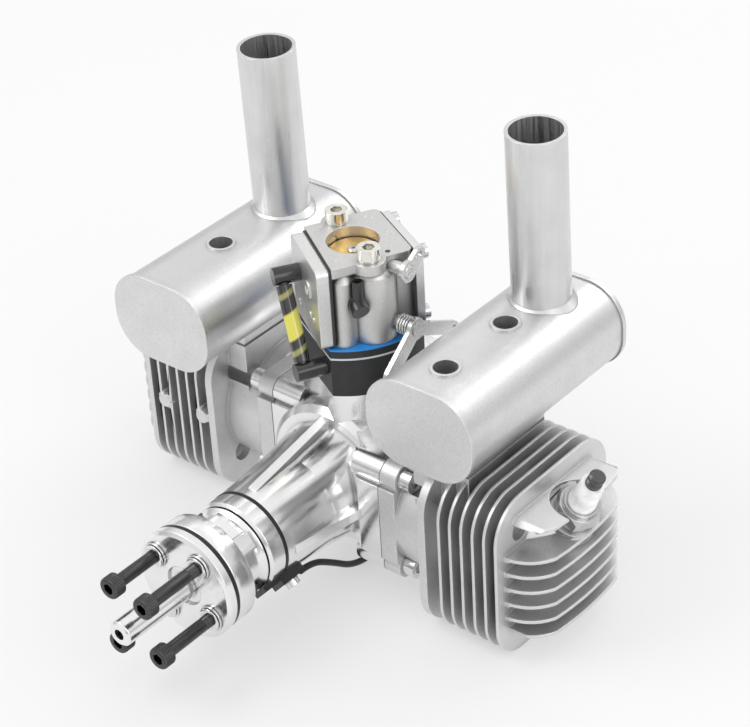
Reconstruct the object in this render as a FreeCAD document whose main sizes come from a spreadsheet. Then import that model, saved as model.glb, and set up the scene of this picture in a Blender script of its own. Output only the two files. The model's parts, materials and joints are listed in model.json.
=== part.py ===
import FreeCAD, Part
import math
import os
import Sketcher
from FreeCAD import Placement, Rotation, Vector

# A flat twin petrol engine for a large model aircraft.
# X runs along the cylinders, Y along the crankshaft with the propeller towards -Y, Z is up.
# The origin is on the crankshaft, midway between the two cylinders.

doc = FreeCAD.newDocument("FlatTwinEngine")
sheet = doc.addObject("Spreadsheet::Sheet", "Sizes")
cells = []
nodes = []

# Turns that bring a piece's own Z or Y to another direction
UPRIGHT = Rotation()
Z_TO_X = Rotation(Vector(0, 1, 0), 90)
Z_TO_Y = Rotation(Vector(1, 0, 0), -90)
Y_TO_X = Rotation(Vector(0, 0, 1), -90)
Y_TO_Z = Rotation(Vector(1, 0, 0), 90)
HALF_TURN = Rotation(Vector(0, 0, 1), 180)


class Size:
    """A length kept in the sheet, or worked out from cells of the sheet."""

    def __init__(self, value, text):
        self.value = value
        self.text = text

    def joined(self, sign, other, value):
        return Size(value, "(" + self.text + sign + text_of(other) + ")")

    def __add__(self, other):
        return self.joined(" + ", other, self.value + value_of(other))

    def __sub__(self, other):
        return self.joined(" - ", other, self.value - value_of(other))

    def __mul__(self, other):
        return self.joined(" * ", other, self.value * value_of(other))

    def __truediv__(self, other):
        return self.joined(" / ", other, self.value / value_of(other))

    def __radd__(self, other):
        return self + other

    def __rmul__(self, other):
        return self * other

    def __rsub__(self, other):
        return self * -1 + other

    def __neg__(self):
        return self * -1


def value_of(number):
    return number.value if isinstance(number, Size) else float(number)


def text_of(number):
    return number.text if isinstance(number, Size) else repr(float(number))


def size(name, value):
    """Write one size into the sheet and return it."""
    cells.append(name)
    row = len(cells)
    sheet.set("A%d" % row, name)
    sheet.set("B%d" % row, str(value))
    sheet.setAlias("B%d" % row, name)
    return Size(float(value), "Sizes." + name)


# Cylinder spacing, bore and stroke
stagger = size("cylinder_stagger", 9.5)
bore_radius = size("bore_radius", 20)
stroke = size("stroke", 28)
running_gap = size("running_gap", 0.05)
clear_gap = size("clear_gap", 0.3)

# Crankcase
drum_radius = size("drum_radius", 29)
drum_half = size("drum_half_length", 23)
drum_edge = size("drum_edge", 2.5)
chamber_radius = size("chamber_radius", 25)
nose_root_radius = size("nose_root_radius", 23)
nose_radius = size("nose_radius", 18.4)
nose_front = size("nose_front", 77.3)
nose_tunnel_radius = size("nose_tunnel_radius", 11)
nose_ring = size("nose_ring_station", 69.8)
groove_width = size("ring_groove_width", 1.4)
groove_depth = size("ring_groove_depth", 0.8)
gusset_width = size("gusset_width", 4)
joint_plane = size("cylinder_joint_plane", 33.5)
shoulder_half_width = size("shoulder_half_width", 25.8)
shoulder_half_height = size("shoulder_half_height", 16)
shoulder_inner_width = size("shoulder_inner_half_width", 19)
shoulder_tall_height = size("shoulder_tall_half_height", 24.7)
base_screw_offset = size("base_screw_offset", 19.2)
screw_depth = size("base_screw_depth", 12)
lobe_radius = size("lobe_radius", 5.5)
pad_top = size("intake_pad_top", 38)
pad_half_length = size("intake_pad_half_length", 21)
pad_half_width = size("intake_pad_half_width", 18.5)
pad_corner = size("intake_pad_corner", 6)
pad_crown_radius = size("intake_pad_crown_radius", 32)
intake_angle = -28.0
cover_thickness = size("rear_cover_thickness", 4)
mount_post_radius = size("mount_post_radius", 6)
mount_post_height = size("mount_post_height", 6)
mount_spacing_x = size("mount_spacing_across", 40)
mount_spacing_z = size("mount_spacing_up", 28)
cover_screw_x = size("cover_screw_across", 9)
cover_screw_z = size("cover_screw_up", 25.4)
mount_hole_radius = size("mount_hole_radius", 2.1)

# Screws, by thread radius and head
m5_radius = size("m_five_radius", 2.5)
m5_head_radius = size("m_five_head_radius", 4.25)
m5_head_height = size("m_five_head_height", 5)
m3_radius = size("m_three_radius", 1.5)
m3_head_radius = size("m_three_head_radius", 2.75)
m3_head_height = size("m_three_head_height", 2.4)

# Crankshaft and its bearings
shaft_radius = size("shaft_radius", 6)
main_journal_radius = size("main_journal_radius", 7.5)
web_radius = size("web_radius", 24)
web_half = size("middle_web_half_width", 4)
crankpin_radius = size("crankpin_radius", 7)
outer_web_width = size("outer_web_width", 5)
front_bearing_radius = size("front_bearing_radius", 14)
front_bearing_width = size("front_bearing_width", 8)
middle_bearing_radius = size("middle_bearing_radius", 17.5)
middle_bearing_width = size("middle_bearing_width", 11)
nose_seal_depth = size("nose_seal_depth", 2.3)

# Cylinder barrel, flange and fins
gasket_thickness = size("base_gasket_thickness", 0.4)
flange_face = size("base_flange_face", 41)
barrel_radius = size("barrel_radius", 26)
liner_radius = size("liner_radius", 22.5)
liner_depth = size("liner_depth", 6)
fin_side = size("fin_side", 66.5)
fin_corner = size("fin_corner", 15)
fin_pitch = size("fin_pitch", 4.97)
fin_thickness = size("fin_thickness", 2.3)
first_fin_back = size("first_fin_back", 57.5)
first_fin_face = size("first_fin_face", 60.7)
head_face = size("head_face", 92.4)
fin_count = 5
tool_hole_radius = size("tool_hole_radius", 4.5)
lug_radius = size("lug_radius", 3.75)
lug_height = size("lug_height", 0.5)
lug_z = size("lug_z", 2)
first_lug_x = size("first_lug_x", 64.1)
second_lug_x = size("second_lug_x", 83.9)

# Head fins and combustion chamber
head_crown = size("head_crown", 108.5)
head_crown_radius = size("head_crown_radius", 130)
head_half_width = size("head_half_width", 29)
head_corner = size("head_corner", 17)
head_side_corner = size("head_side_corner", 17)
head_fin_pitch = size("head_fin_pitch", 6.55)
head_fin_thickness = size("head_fin_thickness", 2)
head_fin_low = size("head_fin_low", -20)
head_fin_count = 7
chamber_top = size("chamber_top", 88.6)
dome_radius = size("dome_radius", 19)
dome_height = size("dome_height", 7.4)
dome_top_radius = size("dome_top_radius", 8)
dome_wall = size("dome_wall", 5)

# Spark plug: seat place and direction, then its turned sizes
seat_x = size("plug_seat_x", 101)
seat_y = size("plug_seat_y", 1.3)
seat_z = size("plug_seat_z", 17.1)
plug_direction = Vector(0.475, -0.20, 0.855)
plug_thread_radius = size("plug_thread_radius", 5)
plug_reach = size("plug_reach", 12)
plug_hex_radius = size("plug_hex_radius", 8.7)
plug_hex_height = size("plug_hex_height", 6.5)
plug_seal_radius = size("plug_seal_radius", 7.4)
plug_seal_height = size("plug_seal_height", 1.8)
insulator_radius = size("insulator_radius", 5.4)
insulator_tip_radius = size("insulator_tip_radius", 4.3)
insulator_top = size("insulator_top", 24)
terminal_radius = size("terminal_radius", 3)
terminal_height = size("terminal_height", 6)
plug_pocket_radius = size("plug_pocket_radius", 11)
plug_boss_radius = size("plug_boss_radius", 9.2)

# Piston, rings and pin
piston_gap = size("piston_gap", 0.15)
squish_gap = size("squish_gap", 1)
piston_length = size("piston_length", 30)
crown_thickness = size("crown_thickness", 4)
skirt_wall = size("skirt_wall", 2.2)
ring_height = size("ring_height", 1.2)
ring_depth = size("ring_depth", 1.6)
ring_first = size("first_ring_depth", 3)
pin_depth = size("pin_depth", 16)
pin_radius = size("pin_radius", 5)
pin_bore_radius = size("pin_bore_radius", 3.2)
pin_boss_radius = size("pin_boss_radius", 7.5)
pin_boss_gap = size("pin_boss_gap", 13)

# Exhaust flange, muffler and stack
exhaust_x = size("exhaust_x", 60.6)
exhaust_half_length = size("exhaust_half_length", 12.4)
exhaust_half_width = size("exhaust_half_width", 22.5)
exhaust_face = size("exhaust_face", 34)
exhaust_bolt_offset = size("exhaust_bolt_offset", 17.3)
port_half_length = size("port_half_length", 4.5)
port_half_width = size("port_half_width", 11)
exhaust_screw_grip = size("exhaust_screw_grip", 10)
exhaust_gasket = size("exhaust_gasket_thickness", 1.2)
muffler_bottom = size("muffler_bottom", 39)
muffler_width = size("muffler_width", 45)
muffler_height = size("muffler_height", 34)
muffler_corner = size("muffler_corner", 15)
muffler_wall = size("muffler_wall", 1.6)
muffler_length = size("muffler_length", 89)
cap_thickness = size("cap_thickness", 1.8)
cap_rim = size("cap_rim", 0.6)
right_muffler_middle = size("right_muffler_middle", 3)
left_muffler_middle = size("left_muffler_middle", 2.9)
tube_radius = size("tool_tube_radius", 5.6)
tube_bore = size("tool_tube_bore", 4.5)
tube_rim = size("tool_tube_rim", 0.7)
stack_radius = size("stack_radius", 11)
stack_wall = size("stack_wall", 1.3)
stack_top = size("stack_top", 141.3)
stack_bead = size("stack_bead", 1.3)
right_stack_inset = size("right_stack_inset", 18)
left_stack_inset = size("left_stack_inset", 19.9)
stack_lean = 1.5

# Intake stack under the carburettor
reed_top = size("reed_block_top", 53.5)
plate_top = size("insulator_plate_top", 58)
intake_gasket = size("intake_gasket_thickness", 0.8)
reed_window_length = size("reed_window_half_length", 9.5)
reed_window_width = size("reed_window_half_width", 9)
reed_cage_depth = size("reed_cage_depth", 13)
reed_cage_wall = size("reed_cage_wall", 1.6)

# Carburettor
carb_top = size("carb_top", 92)
carb_back = size("carb_back", 16.1)
carb_front = size("carb_front", 17.1)
carb_recess = size("carb_front_recess", 3.5)
carb_flange = size("carb_flange_thickness", 4)
carb_half_width = size("carb_half_width", 15)
carb_corner = size("carb_corner", 2.5)
carb_bore_y = size("carb_bore_y", -1.8)
carb_bore = size("carb_bore_radius", 9.75)
venturi_radius = size("venturi_radius", 7.8)
venturi_z = size("venturi_z", 76)
carb_screw_back = size("carb_screw_back", 14.2)
carb_screw_front = size("carb_screw_front", 16)
carb_screw_v = size("carb_screw_side", -1.6)
carb_screw_grip = size("carb_screw_grip", 10)
carb_lobe = size("carb_lobe_radius", 6)
pump_slant = -4.8
pump_side_spare = size("pump_side_spare", 2.5)
first_column = (12.2, -11.2)
first_column_radius = size("first_column_radius", 5.2)
second_column = (11.5, 0.8)
second_column_radius = size("second_column_radius", 9)
column_bevel = size("column_bevel", 3.5)
butterfly_gap = size("butterfly_gap", 0.45)
butterfly_thickness = size("butterfly_thickness", 1)
throttle_z = size("throttle_z", 64)
choke_z = size("choke_z", 87.2)
spindle_radius = size("spindle_radius", 2.6)
spindle_far_end = size("spindle_far_end", 3.4)
throttle_lever_x = size("throttle_lever_x", 26.2)
choke_lever_x = size("choke_lever_x", 24)
lever_thickness = size("lever_thickness", 1.8)
lever_width = size("lever_width", 6.4)
pump_gasket = size("cover_gasket_thickness", 0.8)
pump_depth = size("pump_cover_depth", 4.7)
metering_depth = size("metering_cover_depth", 3.2)
cover_half_length = size("cover_half_length", 16)
cover_half_height = size("cover_half_height", 16)
cover_corner = size("cover_corner", 2)
cover_seal_rim = size("cover_seal_rim", 0.4)
cover_screw_inset = size("cover_screw_inset", 3.2)
pump_shift = size("pump_cover_shift", 1.2)
spring_radius = size("throttle_spring_radius", 3.8)
spring_wire = size("throttle_spring_wire", 1)
throttle_front_arm = size("throttle_front_arm", 19.5)
throttle_rear_arm = size("throttle_rear_arm", 23.9)
choke_arm = size("choke_arm", 7.7)
fuel_barrel_radius = size("fuel_barrel_radius", 3.4)
fuel_pipe_radius = size("fuel_pipe_radius", 1.85)
fuel_end_u = size("fuel_elbow_end", 21)
fuel_tilt = 25.0
fuel_barrel_length = size("fuel_barrel_length", 12)
fuel_pipe_bore = size("fuel_pipe_bore_radius", 1.1)
fuel_pipe_height = size("fuel_pipe_height", 12)
fuel_v = size("fuel_elbow_side", -7.8)
fuel_z = size("fuel_elbow_z", 74)
pulse_u = size("pulse_elbow_u", -6.3)
pulse_z = size("pulse_elbow_z", 79)
reed_pulse_u = size("reed_elbow_u", 10)
reed_pulse_z = size("reed_elbow_z", 48.5)
pulse_radius = size("pulse_elbow_radius", 3.4)
pulse_stand_off = size("pulse_stand_off", 6.5)
pulse_leg = size("pulse_barb_length", 11)
pulse_barb_radius = size("pulse_barb_radius", 2)
hose_radius = size("hose_radius", 3)

# Propeller hub, washer, stud and bolts
hub_back = size("hub_back", 78)
hub_drum_radius = size("hub_drum_radius", 15.5)
hub_radius = size("hub_radius", 18.4)
hub_step = size("hub_step", 87.5)
hub_flange_back = size("hub_flange_back", 96)
hub_flange_radius = size("hub_flange_radius", 21.7)
hub_ring_back = size("hub_ring_back", 98.2)
washer_back = size("washer_back", 99.65)
washer_front = size("washer_front", 103.5)
ring_inset = size("hub_ring_inset", 0.8)
dish_inset = size("washer_dish_inset", 3)
dish_depth = size("washer_dish_depth", 1)
washer_bevel = size("washer_bevel", 1.4)
jaw_back = size("jaw_back", 80.3)
jaw_half_angle = 32.0
jaw_middle_angle = 63.0
stud_radius = size("stud_radius", 4.9)
stud_core_radius = size("stud_core_radius", 4)
stud_grip = size("stud_grip", 10)
stud_tip = size("stud_tip", 136.5)
stud_tap_radius = size("stud_tap_radius", 2.1)
stud_tap_depth = size("stud_tap_depth", 12)
prop_circle = size("prop_bolt_circle_radius", 15)
prop_bolt_first = 55.2
prop_bolt_length = size("prop_bolt_length", 45)
prop_head_stations = [
    size("first_bolt_head", 132.7), size("second_bolt_head", 128),
    size("third_bolt_head", 130.4), size("fourth_bolt_head", 131.5),
]
washer_disc_radius = size("washer_disc_radius", 4.9)
washer_disc_height = size("washer_disc_height", 1)

# Ignition sensor on the nose, its magnet and its lead
sensor_angle = -42.0
sensor_seat = size("sensor_seat", 17.4)
sensor_top = size("sensor_top", 19.6)
sensor_pod_top = size("sensor_pod_top", 21.6)
sensor_pod_front = size("sensor_pod_front", 72)
sensor_half_width = size("sensor_half_width", 3.7)
sensor_back = size("sensor_back", 60.5)
sensor_screw = size("sensor_screw_station", 66)
magnet_radius = size("magnet_radius", 2)
magnet_angle = 190.0
lead_radius = size("lead_radius", 1.25)
plug_half_width = size("connector_half_width", 4)
plug_length = size("connector_length", 12)
plug_height = size("connector_height", 3.2)
plug_pitch = size("connector_pin_pitch", 2.54)
coil_radius = size("lead_coil_radius", 13.5)
coil_x = size("lead_coil_x", -45)
coil_y = size("lead_coil_y", 75.9)
LEAD_ROUTE = [
    (15.7, -60.5, -14.2), (15.7, -53.5, -14.2), (16.8, -44.0, -20.0), (17.6, -33.5, -28.0),
    (16.0, -18.0, -32.0), (13.0, -1.0, -32.0), (12.2, 18.0, -32.0), (9.0, 36.0, -32.0),
    (-2.0, 52.0, -32.0), (-17.0, 61.0, -32.0), (-38.0, 62.4, -32.0),
]

doc.recompute()


def bind(feature, name, number):
    """Tie a length of a feature to the sheet."""
    setattr(feature, name, value_of(number))
    if isinstance(number, Size):
        feature.setExpression(name, number.text)


def place(feature, base, rotation=UPRIGHT):
    """Put a feature at a point whose coordinates stay tied to the sheet."""
    feature.Placement = Placement(Vector(*[value_of(number) for number in base]), rotation)
    for axis, number in zip("xyz", base):
        if isinstance(number, Size):
            feature.setExpression("Placement.Base." + axis, number.text)
    return feature


def block(x, y, z):
    """A box that spans the given (low, high) pairs."""
    feature = doc.addObject("Part::Box", "Block")
    bind(feature, "Length", x[1] - x[0])
    bind(feature, "Width", y[1] - y[0])
    bind(feature, "Height", z[1] - z[0])
    return place(feature, (x[0], y[0], z[0]))


def rod(axis, radius, low, high, first=0, second=0):
    """A cylinder along X, Y or Z. The last two numbers are its place on the other two axes."""
    feature = doc.addObject("Part::Cylinder", "Rod")
    bind(feature, "Radius", radius)
    bind(feature, "Height", high - low)
    return along(feature, axis, low, first, second)


def cone(axis, low_radius, high_radius, low, high, first=0, second=0):
    feature = doc.addObject("Part::Cone", "Cone")
    bind(feature, "Radius1", low_radius)
    bind(feature, "Radius2", high_radius)
    bind(feature, "Height", high - low)
    return along(feature, axis, low, first, second)


def along(feature, axis, low, first, second):
    if axis == "X":
        return place(feature, (low, first, second), Z_TO_X)
    if axis == "Y":
        return place(feature, (first, low, second), Z_TO_Y)
    return place(feature, (first, second, low))


def hexagon(circumradius, height, base=(0, 0, 0), rotation=UPRIGHT):
    feature = doc.addObject("Part::Prism", "Hexagon")
    feature.Polygon = 6
    bind(feature, "Circumradius", circumradius)
    bind(feature, "Height", height)
    return place(feature, base, rotation)


def fuse(*pieces):
    feature = doc.addObject("Part::MultiFuse", "Joined")
    feature.Shapes = list(pieces)
    feature.Refine = True
    return feature


def cut(base, *tools):
    feature = doc.addObject("Part::Cut", "Cut")
    feature.Base = base
    feature.Tool = tools[0] if len(tools) == 1 else fuse(*tools)
    feature.Refine = True
    return feature


def common(first, second):
    feature = doc.addObject("Part::Common", "Common")
    feature.Base = first
    feature.Tool = second
    return feature


def group(*pieces):
    """Several separate solids kept as one."""
    feature = doc.addObject("Part::Compound", "Group")
    feature.Links = list(pieces)
    return feature


def turned(piece, rotation, base=(0, 0, 0)):
    return place(group(piece), base, rotation)


def node(label, piece):
    """Name a finished sub-part. The name is also its file's."""
    piece.Label = label
    nodes.append(piece)
    return piece


def side_node(side, label, piece):
    """A piece of the right cylinder, or the same piece half a turn round on the left."""
    if side == "left":
        piece = turned(piece, HALF_TURN)
    return node(side + "_" + label, piece)


def sketch_in(body, role, offset=0):
    sketch = body.newObject("Sketcher::SketchObject", "Outline")
    planes = {plane.Role: plane for plane in body.Origin.OriginFeatures}
    sketch.AttachmentSupport = [(planes[role], "")]
    sketch.MapMode = "FlatFace"
    sketch.AttachmentOffset = Placement(Vector(0, 0, value_of(offset)), UPRIGHT)
    if isinstance(offset, Size):
        sketch.setExpression("AttachmentOffset.Base.z", offset.text)
    return sketch


def pin_point(sketch, edge, end, across, up):
    """Fix one end of a sketch line by its two coordinates."""
    for kind, axis, number in (("DistanceX", -2, across), ("DistanceY", -1, up)):
        if value_of(number) == 0:
            sketch.addConstraint(Sketcher.Constraint("PointOnObject", edge, end, axis))
            continue
        limit = Sketcher.Constraint(kind, -1, 1, edge, end, value_of(number))
        index = sketch.addConstraint(limit)
        if isinstance(number, Size):
            sketch.setExpression("Constraints[%d]" % index, number.text)


def outline(sketch, points):
    """Draw a closed outline of straight lines through the given points."""
    corners = [Vector(value_of(across), value_of(up), 0) for across, up in points]
    for start, end in zip(corners, corners[1:] + corners[:1]):
        sketch.addGeometry(Part.LineSegment(start, end), False)
    count = len(points)
    for edge in range(count):
        joint = Sketcher.Constraint("Coincident", edge, 2, (edge + 1) % count, 1)
        sketch.addConstraint(joint)
    for edge, (across, up) in enumerate(points):
        pin_point(sketch, edge, 1, across, up)


def rectangle(sketch, half_width, half_height):
    corners = [(-half_width, -half_height), (half_width, -half_height)]
    corners += [(half_width, half_height), (-half_width, half_height)]
    outline(sketch, corners)


def circle(sketch, radius):
    """Draw a circle about the sketch's origin."""
    ring = sketch.addGeometry(Part.Circle(Vector(), Vector(0, 0, 1), value_of(radius)), False)
    sketch.addConstraint(Sketcher.Constraint("Coincident", ring, 3, -1, 1))
    index = sketch.addConstraint(Sketcher.Constraint("Radius", ring, value_of(radius)))
    sketch.setExpression("Constraints[%d]" % index, radius.text)


def new_body(name):
    return doc.addObject("PartDesign::Body", name)


def pad(body, sketch, length, midplane=False):
    feature = body.newObject("PartDesign::Pad", "Pad")
    feature.Profile = sketch
    feature.Midplane = midplane
    bind(feature, "Length", length)
    return feature


def pocket(body, sketch, length):
    """Cut a sketch's outline from its plane towards the plane's own front."""
    feature = body.newObject("PartDesign::Pocket", "Pocket")
    feature.Profile = sketch
    feature.Reversed = True
    bind(feature, "Length", length)
    return feature


def row(body, feature, sketch, count, spacing):
    """Repeat a feature along the normal of its sketch."""
    pattern = body.newObject("PartDesign::LinearPattern", "Row")
    pattern.Originals = [feature]
    pattern.Direction = (sketch, ["N_Axis"])
    pattern.Occurrences = count
    bind(pattern, "Length", spacing * (count - 1))
    body.Tip = pattern
    return pattern


def round_edges(body, feature, radius, chosen):
    """Round the edges of a feature that pass a test."""
    doc.recompute()
    names = []
    for index, edge in enumerate(feature.Shape.Edges):
        if chosen(edge):
            names.append("Edge%d" % (index + 1))
    fillet = body.newObject("PartDesign::Fillet", "Fillet")
    fillet.Base = (feature, names)
    bind(fillet, "Radius", radius)
    return fillet


def is_upright(edge):
    """True for a straight edge along the body's own Z."""
    return len(edge.Vertexes) == 2 and abs(edge.tangentAt(edge.FirstParameter).z) > 0.999


def rounded_bar(half_width, half_height, corner, low, high, base=(0, 0, 0), rotation=UPRIGHT):
    """A bar of rounded rectangular section from low to high along its own Z."""
    body = new_body("Bar")
    sketch = sketch_in(body, "XY_Plane", low)
    rectangle(sketch, half_width, half_height)
    bar = pad(body, sketch, high - low)
    round_edges(body, bar, corner, is_upright)
    return place(body, base, rotation)


def lathe(points, rotation=UPRIGHT, base=(0, 0, 0)):
    """A turned piece about its own Y, from an outline of (radius, station) points."""
    body = new_body("Turned")
    sketch = sketch_in(body, "XY_Plane")
    outline(sketch, points)
    feature = body.newObject("PartDesign::Revolution", "Revolution")
    feature.Profile = sketch
    feature.ReferenceAxis = (sketch, ["V_Axis"])
    feature.Angle = 360
    return place(body, base, rotation)


def around_y(angle):
    """A turn about the crankshaft that brings +X to the given angle above it."""
    return Rotation(Vector(0, 1, 0), -angle)


def cap_screw(radius, head_radius, head_height, length, base=(0, 0, 0), rotation=UPRIGHT):
    """A socket head screw whose head sits on z = 0 and whose shank goes down."""
    head = rod("Z", head_radius, 0, head_height)
    shank = rod("Z", radius, -length, 0)
    socket = hexagon(radius * 0.95, head_height, (0, 0, head_height * 0.45))
    return place(cut(fuse(head, shank), socket), base, rotation)


def m5_screw(length, base, rotation=UPRIGHT):
    return cap_screw(m5_radius, m5_head_radius, m5_head_height, length, base, rotation)


def m3_screw(length, base, rotation=UPRIGHT):
    return cap_screw(m3_radius, m3_head_radius, m3_head_height, length, base, rotation)


# Places shared by several pieces
axis_y = -stagger
SIGNS = (-1, 1)
drum_back = stagger + shoulder_half_width
base_corners = [(axis_y + a * base_screw_offset, b * base_screw_offset) for a in SIGNS for b in SIGNS]


def shoulder():
    """The block that carries the right cylinder, seen from above as a bent step."""
    parts = []
    heights = ((shoulder_half_width, shoulder_half_height), (shoulder_inner_width, shoulder_tall_height))
    for half_width, half_height in heights:
        body = new_body("Shoulder")
        sketch = sketch_in(body, "XY_Plane")
        front = axis_y - half_width
        back = axis_y + half_width
        knee = joint_plane - 9.5
        points = [(0, front + 16), (knee, front), (joint_plane, front), (joint_plane, back), (0, back)]
        outline(sketch, points)
        pad(body, sketch, half_height * 2, True)
        parts.append(body)
    for across, up in base_corners:
        parts.append(rod("X", lobe_radius, joint_plane - 13, joint_plane, across, up))
    return parts


def gusset(angle):
    """A thin web between the drum's front face and the nose."""
    body = new_body("Gusset")
    sketch = sketch_in(body, "XY_Plane")
    inside = nose_radius - 3
    outer = drum_radius - 2.5
    front = -nose_ring + 5
    points = [(inside, front), (nose_radius + 0.6, front), (outer, -drum_half), (inside, -drum_half)]
    outline(sketch, points)
    pad(body, sketch, gusset_width, True)
    return place(body, (0, 0, 0), around_y(angle))


def crankcase():
    seat_back = middle_bearing_width + drum_half
    front_seat_back = nose_front - nose_seal_depth - front_bearing_width
    outside = lathe([
        (0, -nose_front), (nose_radius - 1, -nose_front), (nose_radius, -nose_front + 1),
        (nose_radius, -nose_ring), (nose_radius - groove_depth, -nose_ring),
        (nose_radius - groove_depth, -nose_ring + groove_width),
        (nose_radius, -nose_ring + groove_width), (nose_radius + 1.6, -drum_half - 20),
        (nose_root_radius, -drum_half), (drum_radius - drum_edge, -drum_half),
        (drum_radius, -drum_half + drum_edge), (drum_radius, drum_back), (0, drum_back),
    ])
    right = shoulder()
    left = [turned(piece, HALF_TURN) for piece in shoulder()]
    ribs = [gusset(angle) for angle in (0, 90, 180, 270)]
    solid = fuse(outside, *right, *left, *ribs, intake_turn(intake_outline(0, pad_top)))

    hollow = lathe([
        (0, -nose_front), (front_bearing_radius, -nose_front),
        (front_bearing_radius, -front_seat_back), (nose_tunnel_radius, -front_seat_back),
        (nose_tunnel_radius, -seat_back), (middle_bearing_radius, -seat_back),
        (middle_bearing_radius, -drum_half + 1), (chamber_radius, -drum_half + 1),
        (chamber_radius, drum_back), (0, drum_back),
    ])
    tools = [hollow]
    for turn in (UPRIGHT, HALF_TURN):
        bore = rod("X", liner_radius + clear_gap, 0, joint_plane, axis_y)
        tools.append(turned(bore, turn))
        for across, up in base_corners:
            hole = rod("X", m5_radius, joint_plane - screw_depth, joint_plane, across, up)
            tools.append(turned(hole, turn))
    window = block((-reed_window_length, reed_window_length), (-reed_window_width, reed_window_width),
                   (0, pad_top))
    tools.append(intake_turn(window))
    tools.append(intake_turn(carb_screw_holes(m5_radius, pad_top - carb_screw_grip, pad_top)))
    for x, z in cover_screw_places():
        tools.append(rod("Y", m3_radius + running_gap, drum_back - 9, drum_back, x, z))
    tools.append(sensor_flat())
    node("crankcase", cut(solid, *tools))


def cover_screw_places():
    return [(cover_screw_x * side, cover_screw_z * level) for side in SIGNS for level in SIGNS]


def carb_screw_holes(radius, low, high):
    """Rods at the two long carburettor screws, in the intake's own frame."""
    places = (-carb_screw_back, carb_screw_front)
    return group(*[rod("Z", radius, low, high, u, carb_screw_v) for u in places])


def sensor_flat():
    flat = block((sensor_seat, nose_root_radius), (-jaw_back, -sensor_back),
                 (-sensor_half_width, sensor_half_width))
    return turned(flat, around_y(sensor_angle))


def rear_cover():
    """The plate behind the crankshaft, with its bearing and the posts that bolt to the model."""
    back = drum_back + cover_thickness
    spigot = chamber_radius - running_gap
    inner = rear_bearing_front()
    seat = inner + front_bearing_width
    plate = lathe([
        (0, back), (drum_radius, back), (drum_radius, drum_back), (spigot, drum_back), (spigot, inner),
        (front_bearing_radius, inner), (front_bearing_radius, seat), (0, seat),
    ])
    mount_plane = back + mount_post_height
    posts = []
    holes = []
    for side in SIGNS:
        for level in SIGNS:
            x = mount_spacing_x / 2 * side
            z = mount_spacing_z / 2 * level
            posts.append(rod("Y", mount_post_radius, drum_back, mount_plane, x, z))
            holes.append(rod("Y", mount_hole_radius, drum_back + 1, mount_plane, x, z))
    screws = []
    for x, z in cover_screw_places():
        holes.append(rod("Y", m3_radius + running_gap, drum_back, back, x, z))
        screws.append(m3_screw(cover_thickness + 8, (x, back, z), Z_TO_Y))
    node("rear_cover", cut(fuse(plate, *posts), *holes))
    node("rear_cover_screws", group(*screws))


def rear_bearing_front():
    return stagger * 2 - web_half + outer_web_width + 2


def crankshaft():
    pin_end = stagger * 2 - web_half
    web_end = pin_end + outer_web_width
    journal_end = drum_half + middle_bearing_width + 1
    parts = [
        lathe([
            (0, -hub_flange_back), (shaft_radius, -hub_flange_back), (shaft_radius, -journal_end),
            (main_journal_radius, -journal_end), (main_journal_radius, -web_end), (0, -web_end),
        ]),
        rod("Y", shaft_radius, web_end, rear_bearing_front() + front_bearing_width - clear_gap),
        rod("Y", crankpin_radius, -pin_end, -web_half, stroke / 2),
        rod("Y", crankpin_radius, web_half, pin_end, -stroke / 2),
        counterweight(-web_end, -pin_end, 0),
        counterweight(pin_end, web_end, 180),
        rod("Y", web_radius, -web_half, web_half),
    ]
    socket = rod("Y", stud_core_radius, -hub_flange_back, -hub_flange_back + stud_grip)
    node("crankshaft", cut(fuse(*parts), socket))


def counterweight(low, high, angle):
    """A web that is waisted on the side of its crankpin."""
    disc = rod("Y", web_radius, low, high)
    waist = crankpin_radius + 4
    above = block((0, web_radius), (low, high), (waist, web_radius))
    below = block((0, web_radius), (low, high), (-web_radius, -waist))
    sides = turned(group(above, below), around_y(angle))
    return cut(disc, sides)


def bearing(outer, inner, low, high):
    """A ball bearing with its two shields, drawn as one ring."""
    lip = 0.6
    rim = outer - 2
    hub = inner + 2
    return lathe([
        (inner, low), (hub, low), (hub, low + lip), (rim, low + lip), (rim, low), (outer, low),
        (outer, high), (rim, high), (rim, high - lip), (hub, high - lip), (hub, high), (inner, high),
    ])


def bearings():
    outer = front_bearing_radius - running_gap
    inner = shaft_radius + running_gap
    front = nose_front - nose_seal_depth
    middle_outer = middle_bearing_radius - running_gap
    middle_inner = main_journal_radius + running_gap
    node("main_bearings", group(
        bearing(outer, inner, -front, -front + front_bearing_width),
        bearing(middle_outer, middle_inner, -drum_half - middle_bearing_width, -drum_half),
        bearing(outer, inner, rear_bearing_front(), rear_bearing_front() + front_bearing_width),
    ))
    lip = shaft_radius + clear_gap
    node("nose_seal", lathe([
        (lip, -nose_front + 0.4), (outer, -nose_front + 0.4), (outer, -front - running_gap),
        (lip, -front - running_gap),
    ]))


def flange_shape(low, high):
    """The outline that the crankcase joint, its gasket and the cylinder's foot share."""
    y = (axis_y - shoulder_half_width, axis_y + shoulder_half_width)
    inner = (axis_y - shoulder_inner_width, axis_y + shoulder_inner_width)
    wide = block((low, high), y, (-shoulder_half_height, shoulder_half_height))
    tall = block((low, high), inner, (-shoulder_tall_height, shoulder_tall_height))
    lobes = [rod("X", lobe_radius, low, high, across, up) for across, up in base_corners]
    return fuse(wide, tall, *lobes)


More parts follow.
